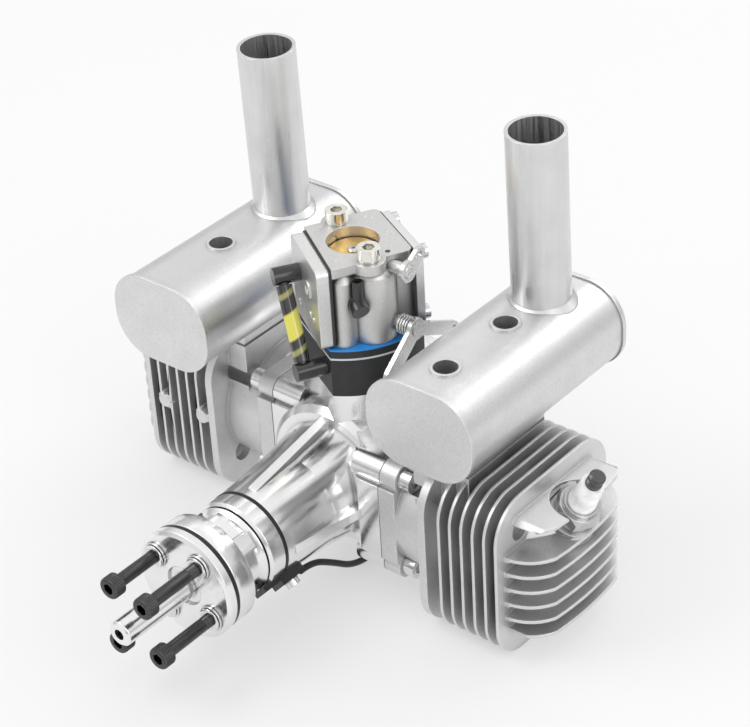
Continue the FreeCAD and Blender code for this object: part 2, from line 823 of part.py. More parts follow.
def barrel_fins():
    """The square fins round the barrel: one block with slots cut round its core."""
    body = new_body("Fins")
    sketch = sketch_in(body, "XY_Plane", first_fin_back)
    rectangle(sketch, fin_side / 2, fin_side / 2)
    bar = pad(body, sketch, head_face - first_fin_back)
    round_edges(body, bar, fin_corner, is_upright)
    slots = head_face - fin_pitch * fin_count
    for low, high in ((first_fin_face, slots - fin_thickness), (slots, slots + fin_pitch - fin_thickness)):
        ring = sketch_in(body, "XY_Plane", low)
        rectangle(ring, fin_side, fin_side)
        circle(ring, barrel_radius)
        slot = pocket(body, ring, high - low)
    row(body, slot, ring, fin_count, fin_pitch)
    return place(body, (0, axis_y, 0), Z_TO_X)


def is_outer_corner(edge):
    return is_upright(edge) and edge.Vertexes[0].X > head_face.value


def head_fins():
    """The level fins outside the head: one block with slots cut in from its outer side."""
    body = new_body("HeadFins")
    bottom = head_fin_low - head_fin_thickness
    top = head_fin_low + head_fin_pitch * head_fin_count
    sketch = sketch_in(body, "XY_Plane", bottom)
    inside = head_face - 3
    outline(sketch, [
        (inside, -head_half_width), (head_crown, -head_half_width),
        (head_crown, head_half_width), (inside, head_half_width),
    ])
    bar = pad(body, sketch, top - bottom)
    round_edges(body, bar, head_corner, is_outer_corner)
    gap = head_fin_pitch - head_fin_thickness
    high_slot = head_fin_low + head_fin_pitch * (head_fin_count - 2)
    for low, depth in ((high_slot, gap + head_fin_pitch), (head_fin_low, gap)):
        slit = sketch_in(body, "XY_Plane", low)
        beyond = head_crown + 1
        outline(slit, [
            (head_face, -head_half_width - 1), (beyond, -head_half_width - 1),
            (beyond, head_half_width + 1), (head_face, head_half_width + 1),
        ])
        slot = pocket(body, slit, depth)
    row(body, slot, slit, head_fin_count - 2, head_fin_pitch)
    place(body, (0, axis_y, 0))
    crown = rod("Z", head_crown_radius, bottom, top, head_crown - head_crown_radius, axis_y)
    envelope = rounded_bar(head_half_width, head_half_width, head_side_corner, head_face - 3, head_crown,
                           (0, axis_y, 0), Z_TO_X)
    return common(common(body, crown), envelope)


def plug_place(distance):
    """A point on the spark plug's axis, outwards from its seat."""
    return (seat_x + distance * plug_direction.x, axis_y + seat_y + distance * plug_direction.y,
            seat_z + distance * plug_direction.z)


def plug_rod(radius, low, high):
    feature = doc.addObject("Part::Cylinder", "Rod")
    bind(feature, "Radius", radius)
    bind(feature, "Height", high - low)
    return place(feature, plug_place(low), PLUG_TURN)


def cylinder(side):
    dome = cone("X", dome_radius + dome_wall, dome_top_radius + dome_wall, chamber_top,
                dome_top() + dome_wall, axis_y)
    exhaust = block((exhaust_x - exhaust_half_length, exhaust_x + exhaust_half_length),
                    (axis_y - exhaust_half_width, axis_y + exhaust_half_width),
                    (barrel_radius / 2, exhaust_face))
    lug_end = axis_y + fin_side / 2 + lug_height
    lugs = [rod("Y", lug_radius, lug_end - 8, lug_end, x, lug_z) for x in (first_lug_x, second_lug_x)]
    solid = fuse(
        flange_shape(joint_plane + gasket_thickness, flange_face),
        rod("X", liner_radius, joint_plane - liner_depth, flange_face, axis_y),
        rod("X", barrel_radius, flange_face, first_fin_back, axis_y),
        barrel_fins(), head_fins(), dome, exhaust, plug_rod(plug_boss_radius, -plug_reach, 0), *lugs,
    )
    tools = [
        rod("X", bore_radius, joint_plane - liner_depth, chamber_top, axis_y),
        cone("X", dome_radius, dome_top_radius, chamber_top, dome_top(), axis_y),
        block(port_span(), (axis_y - port_half_width, axis_y + port_half_width),
              (bore_radius / 2, exhaust_face)),
        plug_rod(plug_thread_radius, -plug_reach * 1.5, 0),
        plug_rod(plug_pocket_radius, 0, head_half_width),
    ]
    for across, up in base_corners:
        tools.append(rod("X", m5_radius + running_gap, joint_plane, flange_face, across, up))
        tools.append(rod("X", tool_hole_radius, flange_face, head_face, across, up))
    for y in bolt_places():
        tools.append(rod("Z", m5_radius + running_gap, exhaust_face - exhaust_screw_grip, exhaust_face,
                         exhaust_x, y))
    side_node(side, "cylinder", cut(solid, *tools))


def dome_top():
    return chamber_top + dome_height


def port_span():
    return (exhaust_x - port_half_length, exhaust_x + port_half_length)


def bolt_places():
    return (axis_y - exhaust_bolt_offset, axis_y + exhaust_bolt_offset)


def piston_set(side):
    radius = bore_radius - piston_gap
    crown = chamber_top - squish_gap
    foot = crown - piston_length
    pin_x = crown - pin_depth
    inside = radius - skirt_wall
    body = lathe([
        (0, crown), (radius, crown), (radius, foot), (inside, foot),
        (inside, crown - crown_thickness), (0, crown - crown_thickness),
    ], Y_TO_X, (0, axis_y, 0))
    grooves = []
    rings = []
    for number in (0, 1):
        high = crown - ring_first - number * ring_height * 2.6
        low = high - ring_height
        grooves.append(ring_of(radius - ring_depth, radius + 1, low, high))
        rings.append(ring_of(radius - ring_depth + running_gap, bore_radius - running_gap,
                             low + running_gap, high - running_gap))
    bosses = []
    for sign in SIGNS:
        ends = sorted((sign * pin_boss_gap / 2, sign * inside), key=value_of)
        bosses.append(rod("Y", pin_boss_radius, axis_y + ends[0], axis_y + ends[1], pin_x, 0))
    hole = rod("Y", pin_radius + running_gap, axis_y - bore_radius, axis_y + bore_radius, pin_x, 0)
    piston = cut(fuse(body, *bosses), hole, *grooves)
    side_node(side, "piston", piston)
    side_node(side, "piston_rings", group(*rings))
    half = inside
    pin = cut(rod("Y", pin_radius, axis_y - half, axis_y + half, pin_x, 0),
              rod("Y", pin_bore_radius, axis_y - half, axis_y + half, pin_x, 0))
    side_node(side, "wrist_pin", pin)


def ring_of(inner, outer, low, high):
    return cut(rod("X", outer, low, high, axis_y), rod("X", inner, low, high, axis_y))


def spark_plug(side):
    seat = plug_place(0)
    hex_low = plug_seal_height
    hex_high = hex_low + plug_hex_height
    collar = hex_high + 1.8
    core_radius = insulator_radius - 2
    base = lathe([
        (core_radius, -plug_reach), (plug_thread_radius - running_gap, -plug_reach),
        (plug_thread_radius - running_gap, running_gap), (plug_seal_radius, running_gap),
        (plug_seal_radius, hex_low), (insulator_radius + 1, hex_low),
        (insulator_radius + 1, collar), (insulator_radius, collar),
        (insulator_radius, hex_low), (core_radius, hex_low),
    ], PLUG_TURN_Y, seat)
    nut = hexagon(plug_hex_radius, plug_hex_height, plug_place(hex_low), PLUG_TURN)
    chamfer = plug_cone(plug_hex_radius * 1.35, plug_hex_radius * 0.86, hex_low, hex_high)
    nut = cut(common(nut, chamfer), plug_rod(insulator_radius, hex_low, hex_high))
    side_node(side, "plug_shell", fuse(base, nut))
    ceramic = lathe([
        (0, -plug_reach + 2), (core_radius - running_gap, -plug_reach + 2),
        (core_radius - running_gap, hex_low + running_gap),
        (insulator_radius - running_gap, hex_low + running_gap),
        (insulator_radius - running_gap, collar + 1), (insulator_tip_radius + 0.6, collar + 4),
        (insulator_tip_radius, insulator_top), (0, insulator_top),
    ], PLUG_TURN_Y, seat)
    side_node(side, "plug_insulator", ceramic)
    neck = terminal_radius * 0.72
    top = insulator_top + terminal_height
    nub = lathe([
        (0, insulator_top), (terminal_radius, insulator_top),
        (terminal_radius, insulator_top + 1.6), (neck, insulator_top + 2.4),
        (neck, top - 2.6), (terminal_radius, top - 1.8), (terminal_radius, top - 0.8),
        (terminal_radius - 0.8, top), (0, top),
    ], PLUG_TURN_Y, seat)
    side_node(side, "plug_terminal", nub)


def plug_cone(low_radius, high_radius, low, high):
    feature = doc.addObject("Part::Cone", "Cone")
    bind(feature, "Radius1", low_radius)
    bind(feature, "Radius2", high_radius)
    bind(feature, "Height", high - low)
    return place(feature, plug_place(low), PLUG_TURN)


def base_fittings():
    gaskets = []
    screws = []
    for turn in (UPRIGHT, HALF_TURN):
        sheet_shape = flange_shape(joint_plane, joint_plane + gasket_thickness)
        holes = [rod("X", liner_radius + clear_gap, joint_plane, joint_plane + gasket_thickness, axis_y)]
        bolts = []
        for across, up in base_corners:
            holes.append(rod("X", m5_radius + running_gap, joint_plane, joint_plane + gasket_thickness,
                             across, up))
            length = flange_face - joint_plane + screw_depth - 1
            bolts.append(m5_screw(length, (flange_face, across, up), Z_TO_X))
        gaskets.append(turned(cut(sheet_shape, *holes), turn))
        screws.append(turned(group(*bolts), turn))
    node("base_gaskets", group(*gaskets))
    node("base_screws", group(*screws))


def exhaust_fittings():
    gaskets = []
    screws = []
    x = (exhaust_x - exhaust_half_length, exhaust_x + exhaust_half_length)
    y = (axis_y - exhaust_half_width, axis_y + exhaust_half_width)
    z = (exhaust_face, exhaust_face + exhaust_gasket)
    for turn in (UPRIGHT, HALF_TURN):
        holes = [block(port_span(), (axis_y - port_half_width, axis_y + port_half_width), z)]
        bolts = []
        for place_y in bolt_places():
            holes.append(rod("Z", m5_radius + running_gap, z[0], z[1], exhaust_x, place_y))
            under = muffler_bottom + muffler_wall
            length = under - exhaust_face + exhaust_screw_grip - 1
            bolts.append(m5_screw(length, (exhaust_x, place_y, under)))
        gaskets.append(turned(cut(block(x, y, z), *holes), turn))
        screws.append(turned(group(*bolts), turn))
    node("exhaust_gaskets", group(*gaskets))
    node("exhaust_screws", group(*screws))


def muffler(side, sign, middle, stack_inset, tubes):
    """A rounded can along Y over one cylinder, with its stack."""
    x = exhaust_x * sign
    port_y = axis_y * sign
    height = muffler_bottom + muffler_height / 2
    low = middle - muffler_length / 2
    high = middle + muffler_length / 2
    stack_y = high - stack_inset
    half_width = muffler_width / 2
    half_height = muffler_height / 2
    can = rounded_bar(half_width, half_height, muffler_corner, low, high, (x, 0, height), Z_TO_Y)
    room = rounded_bar(half_width - muffler_wall, half_height - muffler_wall,
                       muffler_corner - muffler_wall, low, high, (x, 0, height), Z_TO_Y)
    foot = block((x - exhaust_half_length, x + exhaust_half_length),
                 (port_y - exhaust_half_width, port_y + exhaust_half_width),
                 (exhaust_face + exhaust_gasket, muffler_bottom + muffler_wall))
    top = muffler_bottom + muffler_height
    port = block((x - port_half_length, x + port_half_length),
                 (port_y - port_half_width, port_y + port_half_width), (exhaust_face, height))
    guides = [rod("Z", tube_radius, muffler_bottom, top + tube_rim, x, y) for y in tubes]
    holes = [rod("Z", tube_bore, muffler_bottom + muffler_wall, top + tube_rim, x, y) for y in tubes]
    for offset in SIGNS:
        bolt_y = port_y + exhaust_bolt_offset * offset
        holes.append(rod("Z", m5_radius + running_gap, exhaust_face, muffler_bottom + muffler_wall,
                         x, bolt_y))
    outlet = rod("Z", stack_radius - stack_wall, height, top + 1, x, stack_y)
    shell = cut(fuse(can, foot), room)
    node(side + "_muffler", cut(fuse(shell, *guides), port, outlet, *holes))

    pipe = fuse(rod("Z", stack_radius, height, stack_top, 0, 0),
                cone("Z", stack_radius + stack_bead * 2, stack_radius, top - 1.2, top + stack_bead, 0, 0))
    pipe = cut(pipe, rod("Z", stack_radius - stack_wall, height, stack_top, 0, 0))
    lean = Rotation(Vector(1, 0, 0), stack_lean)
    leaning = place(group(place(group(pipe), (0, 0, -top))), (x, stack_y, top), lean)
    saddle = rounded_bar(half_width, half_height, muffler_corner, low, high, (x, 0, height), Z_TO_Y)
    under = block((x - half_width, x + half_width), (low, high), (muffler_bottom, height + 1))
    node(side + "_stack", cut(leaning, saddle, under))
    ends = []
    for end in (low - cap_thickness, high):
        ends.append(rounded_bar(half_width + cap_rim, half_height + cap_rim, muffler_corner + cap_rim,
                                end, end + cap_thickness, (x, 0, height), Z_TO_Y))
    return ends


def mufflers():
    right_tubes = [axis_y - exhaust_bolt_offset, axis_y + exhaust_bolt_offset]
    left_tubes = [-axis_y - exhaust_bolt_offset]
    caps = muffler("right", 1, right_muffler_middle, right_stack_inset, right_tubes)
    caps += muffler("left", -1, left_muffler_middle, left_stack_inset, left_tubes)
    node("muffler_caps", group(*caps))


def intake_turn(piece):
    """Bring a piece from the intake's own frame to its place on the engine."""
    return turned(piece, Rotation(Vector(0, 0, 1), intake_angle))


def intake_outline(low, high):
    """A level slice of the intake, with its crowned outer end."""
    bar = rounded_bar(pad_half_length, pad_half_width, pad_corner, low, high)
    return common(bar, rod("Z", pad_crown_radius, low, high, pad_half_length - pad_crown_radius))


def intake_plate(low, high):
    throat = rod("Z", carb_bore, low, high, 0, carb_bore_y)
    holes = carb_screw_holes(m5_radius + running_gap, low, high)
    return cut(intake_turn(cut(intake_outline(low, high), holes)), throat)


def intake_stack():
    flange_depth = 1.5
    length = reed_window_length + 2
    width = reed_window_width + 2
    recess = intake_turn(block((-length, length), (-width, width), (pad_top, pad_top + flange_depth)))
    node("reed_block", cut(intake_plate(pad_top, reed_top), recess))
    side = clear_gap
    body = new_body("Reeds")
    sketch = sketch_in(body, "XZ_Plane")
    tip = pad_top - reed_cage_depth
    mouth = reed_window_length - clear_gap
    outline(sketch, [
        (-mouth, pad_top), (-reed_cage_wall, tip), (reed_cage_wall, tip), (mouth, pad_top),
    ])
    pad(body, sketch, (reed_window_width - clear_gap) * 2, True)
    flange = block((-length + side, length - side), (-width + side, width - side),
                   (pad_top, pad_top + flange_depth - running_gap))
    opening = new_body("ReedOpening")
    inner = sketch_in(opening, "XZ_Plane")
    outline(inner, [
        (-mouth + reed_cage_wall, pad_top + flange_depth), (0, tip + reed_cage_wall * 2),
        (mouth - reed_cage_wall, pad_top + flange_depth),
    ])
    pad(opening, inner, (reed_window_width - clear_gap - reed_cage_wall) * 2, True)
    node("reed_valve", intake_turn(cut(fuse(body, flange), opening)))
    lower = plate_top - intake_gasket
    node("insulator_plate", intake_plate(reed_top + intake_gasket, lower))
    node("intake_gaskets", group(intake_plate(reed_top, reed_top + intake_gasket),
                                 intake_plate(lower, plate_top)))


def carb_casting():
    """The body, with a slanted pump side and two columns under the front of its top flange."""
    side = carb_half_width + pump_side_spare
    under = carb_top - carb_flange
    front = carb_front - carb_recess
    bar = rounded_bar((carb_back + carb_front) / 2, (carb_half_width + side) / 2, carb_corner, plate_top,
                      carb_top, ((carb_front - carb_back) / 2, (carb_half_width - side) / 2, 0))
    recess = block((front, carb_front + 1), (-side, carb_half_width), (plate_top, under))
    columns = []
    for (u, v), radius in ((first_column, first_column_radius), (second_column, second_column_radius)):
        columns.append(lathe([
            (0, plate_top), (radius, plate_top), (radius, under - column_bevel),
            (radius - column_bevel, under + 1), (0, under + 1),
        ], Y_TO_Z, (u, v, 0)))
    beyond = block((-side * 2, side * 2), (-side * 2, -carb_half_width), (plate_top, carb_top))
    body = cut(fuse(cut(bar, recess), *columns), turned(beyond, PUMP_TURN))
    ends = ((-carb_screw_back, plate_top), (carb_screw_front, under))
    lobes = [rod("Z", carb_lobe, low, carb_top, u, carb_screw_v) for u, low in ends]
    return fuse(body, *lobes)


def carburettor():
    holes = [carb_screw_holes(m5_radius + running_gap, plate_top, carb_top), fuel_barrel(0)]
    casting = intake_turn(cut(carb_casting(), *holes))
    throat = lathe([
        (0, plate_top), (carb_bore, plate_top), (carb_bore, throttle_z + 5), (venturi_radius, venturi_z),
        (carb_bore, choke_z - 5), (carb_bore, carb_top), (0, carb_top),
    ], Y_TO_Z, (0, carb_bore_y, 0))
    reach = carb_front * 2
    spindles = [rod("X", spindle_radius + running_gap, -reach, reach, carb_bore_y, z)
                for z in (throttle_z, choke_z)]
    node("carb_body", cut(casting, throat, *spindles))
    long = carb_top - pad_top + carb_screw_grip - 1
    screws = [m5_screw(long, (u, carb_screw_v, carb_top)) for u in (-carb_screw_back, carb_screw_front)]
    node("carb_screws", intake_turn(group(*screws)))


def cover_plate(half_length, half_height, low, high, u):
    height = (plate_top + carb_top) / 2
    return rounded_bar(half_length, half_height, cover_corner, low, high, (u, 0, height), Z_TO_Y)


def covers():
    """The pump cover on the slanted side and the metering cover on the other, each on its gasket."""
    middle = (carb_front - carb_back) / 2
    seal_length = cover_half_length + cover_seal_rim
    seal_height = cover_half_height + cover_seal_rim
    face = -carb_half_width
    under = face - pump_gasket
    pump_middle = middle + pump_shift
    pump_seal = cover_plate(seal_length, seal_height, under, face, pump_middle)
    pump = cover_plate(cover_half_length, cover_half_height, under - pump_depth, under, pump_middle)
    node("pump_cover", intake_turn(turned(pump, PUMP_TURN)))

    seat = carb_half_width + pump_gasket
    top = seat + metering_depth
    meter_seal = cover_plate(seal_length, seal_height, carb_half_width, seat, middle)
    meter = cover_plate(cover_half_length, cover_half_height, seat, top, middle)
    screws = []
    for side in SIGNS:
        for level in SIGNS:
            u = middle + side * (cover_half_length - cover_screw_inset)
            z = (plate_top + carb_top) / 2 + level * (cover_half_height - cover_screw_inset)
            screws.append(m3_screw(metering_depth - 0.5, (u, top, z), Z_TO_Y))
    holes = [rod_for(screw) for screw in screws]
    node("metering_cover", intake_turn(cut(meter, *holes)))
    node("carb_gaskets", intake_turn(group(turned(pump_seal, PUMP_TURN), meter_seal)))
    node("cover_screws", intake_turn(group(*screws)))


def rod_for(screw):
    """The hole that a cover screw stands in."""
    hole = doc.addObject("Part::Cylinder", "Hole")
    bind(hole, "Radius", m3_radius + running_gap)
    bind(hole, "Height", metering_depth)
    hole.Placement = screw.Placement.multiply(Placement(Vector(0, 0, -metering_depth.value), UPRIGHT))
    return hole


def spindle_set(label, z, low, high):
    """A shaft across the bore with its round plate, in a saw cut with a fastening screw."""
    radius = carb_bore - butterfly_gap
    half = butterfly_thickness / 2
    plate = rod("Z", radius, z - half, z + half, 0, carb_bore_y)
    shaft = rod("X", spindle_radius, low, high, carb_bore_y, z)
    slot = block((-radius - 0.2, radius + 0.2), (carb_bore_y - spindle_radius, carb_bore_y + spindle_radius),
                 (z - half, z + half))
    screw = rod("Z", m3_radius, z + half, z + spindle_radius + 0.8, 0, carb_bore_y)
    node(label + "_shaft", cut(shaft, slot, rod("Z", m3_radius, z, z + spindle_radius, 0, carb_bore_y)))
    node(label + "_plate", fuse(plate, screw))


def lever_arm(x, z, length, width, angle):
    """A flat arm from a spindle, round at its far end with a hole there."""
    half = width / 2
    strip = block((x, x + lever_thickness), (0, length), (-half, half))
    tip = rod("X", half, x, x + lever_thickness, length, 0)
    hole = rod("X", half * 0.45, x, x + lever_thickness, length, 0)
    arm = cut(fuse(strip, tip), hole)
    return turned(arm, Rotation(Vector(1, 0, 0), angle), (0, carb_bore_y, z))


def lever(label, x, z, arms):
    parts = [lever_arm(x, z, length, width, angle) for length, width, angle in arms]
    boss = rod("X", spindle_radius + 1.6, x, x + lever_thickness, carb_bore_y, z)
    hole = rod("X", spindle_radius, x, x + lever_thickness, carb_bore_y, z)
    node(label + "_lever", cut(fuse(boss, *parts), hole))


def linkage():
    far = -carb_back - spindle_far_end
    spindle_set("throttle", throttle_z, far, throttle_lever_x + lever_thickness + clear_gap)
    spindle_set("choke", choke_z, far, choke_lever_x + lever_thickness + clear_gap)
    lever("throttle", throttle_lever_x, throttle_z,
          ((throttle_front_arm, lever_width, 219.0), (throttle_rear_arm, lever_width * 0.8, -26.5)))
    lever("choke", choke_lever_x, choke_z, ((choke_arm, lever_width * 0.85, 32.0),))


def throttle_spring():
    """The coil that closes the throttle, round the spindle between the casting and the lever."""
    turns = 4
    steps = 12
    pitch = spring_wire.value * 1.2
    reach = spring_radius.value - spring_wire.value / 2
    points = []
    for step in range(int(turns * steps) + 1):
        angle = 2 * math.pi * step / steps
        points.append(Vector(reach * math.cos(angle), reach * math.sin(angle), pitch * step / steps))
    section = Part.Wire(Part.makeCircle(spring_wire.value / 2, points[0], points[1] - points[0]))
    feature = doc.addObject("Part::Feature", "Spring")
    feature.Shape = Part.makePolygon(points).makePipeShell([section], True, True, 1)
    start = throttle_lever_x.value - clear_gap.value - spring_wire.value / 2 - pitch * turns
    feature.Placement = Placement(Vector(start, carb_bore_y.value, throttle_z.value), Z_TO_X)
    node("throttle_spring", feature)


def fuel_barrel(gap):
    """The elbow's barrel, which slants down and out of the body."""
    barrel = rod("Z", fuel_barrel_radius - gap, -fuel_barrel_length, 0)
    return place(group(barrel), (fuel_end_u, fuel_v, fuel_z), FUEL_TURN)


def fuel_elbow():
    pipe_u = fuel_end_u - fuel_pipe_radius - clear_gap
    top = fuel_z + fuel_pipe_height
    pipe = rod("Z", fuel_pipe_radius, fuel_z, top, pipe_u, fuel_v)
    hole = rod("Z", fuel_pipe_bore, fuel_z + fuel_barrel_radius, top, pipe_u, fuel_v)
    node("fuel_elbow", intake_turn(cut(fuse(fuel_barrel(running_gap), pipe), hole)))


def pulse_line():
    """Two elbows and the short hose that carries the crankcase pulse to the pump."""
    upper_face = -carb_half_width - pump_gasket - pump_depth
    hose_v = upper_face - pulse_stand_off
    high = Vector(pulse_u.value, hose_v.value, pulse_z.value)
    high = PUMP_TURN.multVec(high)
    low = Vector(reed_pulse_u.value, hose_v.value, reed_pulse_z.value)
    line = low - high
    turn = Rotation(Vector(0, 0, 1), line)
    reach = pulse_radius + pulse_leg
    upper = turned(rod("Y", pulse_radius, hose_v - pulse_radius, upper_face, pulse_u, pulse_z), PUMP_TURN)
    lower = rod("Y", pulse_radius, hose_v - pulse_radius, -pad_half_width, reed_pulse_u, reed_pulse_z)
    first_barb = place(rod("Z", pulse_barb_radius, 0, reach), high, turn)
    last_barb = place(group(rod("Z", pulse_barb_radius, line.Length - reach, line.Length)), high, turn)
    node("pulse_elbows", intake_turn(group(fuse(upper, first_barb), fuse(lower, last_barb))))
    start = pulse_radius + clear_gap
    end = line.Length - pulse_radius - clear_gap
    tube = cut(rod("Z", hose_radius, start, end), rod("Z", pulse_barb_radius + running_gap, start, end))
    node("pulse_hose", intake_turn(place(group(tube), high, turn)))


def tube_along(points, radius):
    """A round tube along straight runs joined by arcs as large as the runs allow."""
    edges = []
    start = points[0]
    for before, corner, after in zip(points, points[1:], points[2:]):
        incoming = corner - before
        outgoing = after - corner
        half_turn = incoming.getAngle(outgoing) / 2
        reach = 0.45 * min(incoming.Length, outgoing.Length)
        print("arc radius %.1f" % (reach / math.tan(half_turn)))
        incoming.normalize()
        outgoing.normalize()
        entry = corner - incoming * reach
        leave = corner + outgoing * reach
        bulge = outgoing - incoming
        bulge.normalize()
        depth = reach / math.tan(half_turn) * (1 / math.cos(half_turn) - 1)
        edges.append(Part.LineSegment(start, entry).toShape())
        edges.append(Part.Arc(entry, corner + bulge * depth, leave).toShape())
        start = leave
    edges.append(Part.LineSegment(start, points[-1]).toShape())
    path = Part.Wire(edges)
    section = Part.Wire(Part.makeCircle(radius, points[0], points[1] - points[0]))
    feature = doc.addObject("Part::Feature", "Tube")
    feature.Shape = path.makePipeShell([section], True, False)
    expected = math.pi * radius ** 2 * path.Length
    if abs(feature.Shape.Volume / expected - 1) > 0.01:
        raise RuntimeError("A tube does not have the volume of its section along its path")
    print("tube length %.1f" % path.Length)
    return feature


def hub():
    """The drive hub, with the two jaws that reach back over its drum."""
    core = lathe([
        (shaft_radius + running_gap, -hub_back), (hub_drum_radius, -hub_back), (hub_drum_radius, -hub_step),
        (hub_radius, -hub_step), (hub_radius, -hub_flange_back), (hub_flange_radius, -hub_flange_back),
        (hub_flange_radius, -hub_ring_back), (hub_flange_radius - ring_inset, -hub_ring_back),
        (hub_flange_radius - ring_inset, -washer_back), (shaft_radius + running_gap, -washer_back),
    ])
    jaws = []
    for middle in (jaw_middle_angle, jaw_middle_angle + 180):
        body = new_body("Jaw")
        sketch = sketch_in(body, "XZ_Plane", jaw_back)
        far = hub_radius * 1.5
        points = [(0, 0)]
        for step in (-1, 0, 1):
            angle = math.radians(middle + step * jaw_half_angle)
            points.append((far * math.cos(angle), far * math.sin(angle)))
        outline(sketch, points)
        pad(body, sketch, hub_step - jaw_back)
        jaws.append(common(rod("Y", hub_radius, -hub_step, -jaw_back), body))
    holes = [rod("Y", m5_radius + running_gap, -washer_back, -hub_back, x, z) for x, z in prop_places()]
    bore = rod("Y", shaft_radius + running_gap, -washer_back, -hub_back)
    holes.append(bore)
    holes.append(magnet_rod(magnet_radius + running_gap))
    node("prop_hub", cut(fuse(core, *jaws), *holes))
    node("sensor_magnet", magnet_rod(magnet_radius))


def magnet_rod(radius):
    inner = hub_drum_radius - 3
    rod_x = rod("X", radius, inner, hub_drum_radius, -hub_back - magnet_radius - 0.5, 0)
    return turned(rod_x, around_y(magnet_angle))


def prop_places():
    places = []
    for quarter in range(4):
        angle = math.radians(prop_bolt_first + quarter * 90)
        places.append((prop_circle * math.cos(angle), prop_circle * math.sin(angle)))
    return places


def prop_front():
    """The front washer, the stud and the four bolts that clamp a propeller."""
    hole = stud_core_radius + running_gap
    dish = stud_radius + dish_inset
    floor = -washer_front + dish_depth
    disc = lathe([
        (hole, -washer_back), (hub_flange_radius, -washer_back), (hub_flange_radius, -washer_front + 1),
        (hub_flange_radius - washer_bevel, -washer_front), (dish, -washer_front),
        (dish, floor), (hole, floor),
    ])
    holes = [rod("Y", m5_radius + running_gap, -washer_front, -washer_back, x, z) for x, z in prop_places()]
    node("front_washer", cut(disc, *holes))
    stud = lathe([
        (0, -hub_flange_back + stud_grip), (stud_core_radius - running_gap, -hub_flange_back + stud_grip),
        (stud_core_radius - running_gap, floor), (stud_radius, floor),
        (stud_radius, -stud_tip + 0.8), (stud_radius - 0.8, -stud_tip),
        (stud_tap_radius, -stud_tip), (stud_tap_radius, -stud_tip + stud_tap_depth),
        (0, -stud_tip + stud_tap_depth),
    ])
    node("centre_stud", stud)
    bolts = []
    discs = []
    for (x, z), head in zip(prop_places(), prop_head_stations):
        under = head - m5_head_height
        bolts.append(m5_screw(prop_bolt_length, (x, -under, z), Rotation(Vector(1, 0, 0), 90)))
        flat = washer_front + washer_disc_height
        discs.append(washer_ring(washer_disc_radius, -flat, -washer_front, x, z))
        discs.append(washer_ring(washer_disc_radius - 0.5, -flat - washer_disc_height, -flat, x, z))
    node("prop_bolts", group(*bolts))
    node("bolt_washers", group(*discs))


def washer_ring(radius, low, high, x, z):
    return cut(rod("Y", radius, low, high, x, z), rod("Y", m5_radius + running_gap, low, high, x, z))


def ignition_sensor():
    front = jaw_back - clear_gap
    strip = block((sensor_seat, sensor_top), (-front, -sensor_back), (-sensor_half_width, sensor_half_width))
    pod = block((sensor_seat, sensor_pod_top), (-sensor_pod_front, -sensor_back),
                (-sensor_half_width, sensor_half_width))
    hole = rod("X", m3_radius + running_gap, sensor_seat, sensor_pod_top, -sensor_screw, 0)
    node("ignition_sensor", turned(cut(fuse(strip, pod), hole), around_y(sensor_angle)))
    screw = m3_screw(sensor_pod_top - sensor_seat, (sensor_pod_top, -sensor_screw, 0), Z_TO_X)
    node("sensor_screw", turned(group(screw), around_y(sensor_angle)))


def sensor_lead():
    """The lead from the sensor, under the crankcase to a coil behind the engine."""
    points = [Vector(*point) for point in LEAD_ROUTE]
    node("sensor_lead", tube_along(points, lead_radius.value))
    floor = -fin_side / 2
    inner = coil_radius - lead_radius * 2
    outer = coil_radius + lead_radius * 2
    top = floor + lead_radius * 4
    ring = lathe([
        (inner, floor + lead_radius), (inner + lead_radius, floor), (outer - lead_radius, floor),
        (outer, floor + lead_radius), (outer, top - lead_radius), (outer - lead_radius, top),
        (inner + lead_radius, top), (inner, top - lead_radius),
    ], Y_TO_Z, (coil_x, coil_y, 0))
    node("lead_coil", ring)
    tail = rod("Y", lead_radius, coil_y + outer - lead_radius, coil_y + outer + 6, coil_x,
               floor + lead_radius * 1.3)
    start = coil_y + outer + 5
    shell = block((coil_x - plug_half_width, coil_x + plug_half_width), (start, start + plug_length),
                  (floor, floor + plug_height))
    slots = []
    for step in (-1, 0, 1):
        x = coil_x + step * plug_pitch
        slots.append(block((x - 0.8, x + 0.8), (start + plug_length - 6, start + plug_length),
                           (floor + plug_height / 2 - 0.8, floor + plug_height / 2 + 0.8)))
    node("lead_connector", fuse(tail, cut(shell, *slots)))


PUMP_TURN = Rotation(Vector(0, 0, 1), pump_slant)
FUEL_TURN = Rotation(Vector(0, 1, 0), 90 + fuel_tilt)
PLUG_TURN = Rotation(Vector(0, 0, 1), plug_direction)
PLUG_TURN_Y = Rotation(Vector(0, 1, 0), plug_direction)

crankcase()
rear_cover()
crankshaft()
bearings()
for side in ("right", "left"):
    cylinder(side)
    piston_set(side)
    spark_plug(side)
base_fittings()
exhaust_fittings()
mufflers()
intake_stack()
carburettor()
covers()
linkage()
throttle_spring()
fuel_elbow()
pulse_line()
hub()
prop_front()
ignition_sensor()
sensor_lead()

doc.recompute()
for item in doc.Objects:
    if "Invalid" in item.State or "Error" in item.State:
        raise RuntimeError(item.Label + " did not recompute")
for piece in nodes:
    if piece.Shape.isNull() or not piece.Shape.isValid():
        raise RuntimeError(piece.Label + " has no valid shape")

os.makedirs("parts", exist_ok=True)
for piece in nodes:
    piece.Shape.exportStep("parts/" + piece.Label + ".step")
print("%d sub-parts" % len(nodes))
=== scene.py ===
import json
import math

import bpy
from mathutils import Matrix, Vector


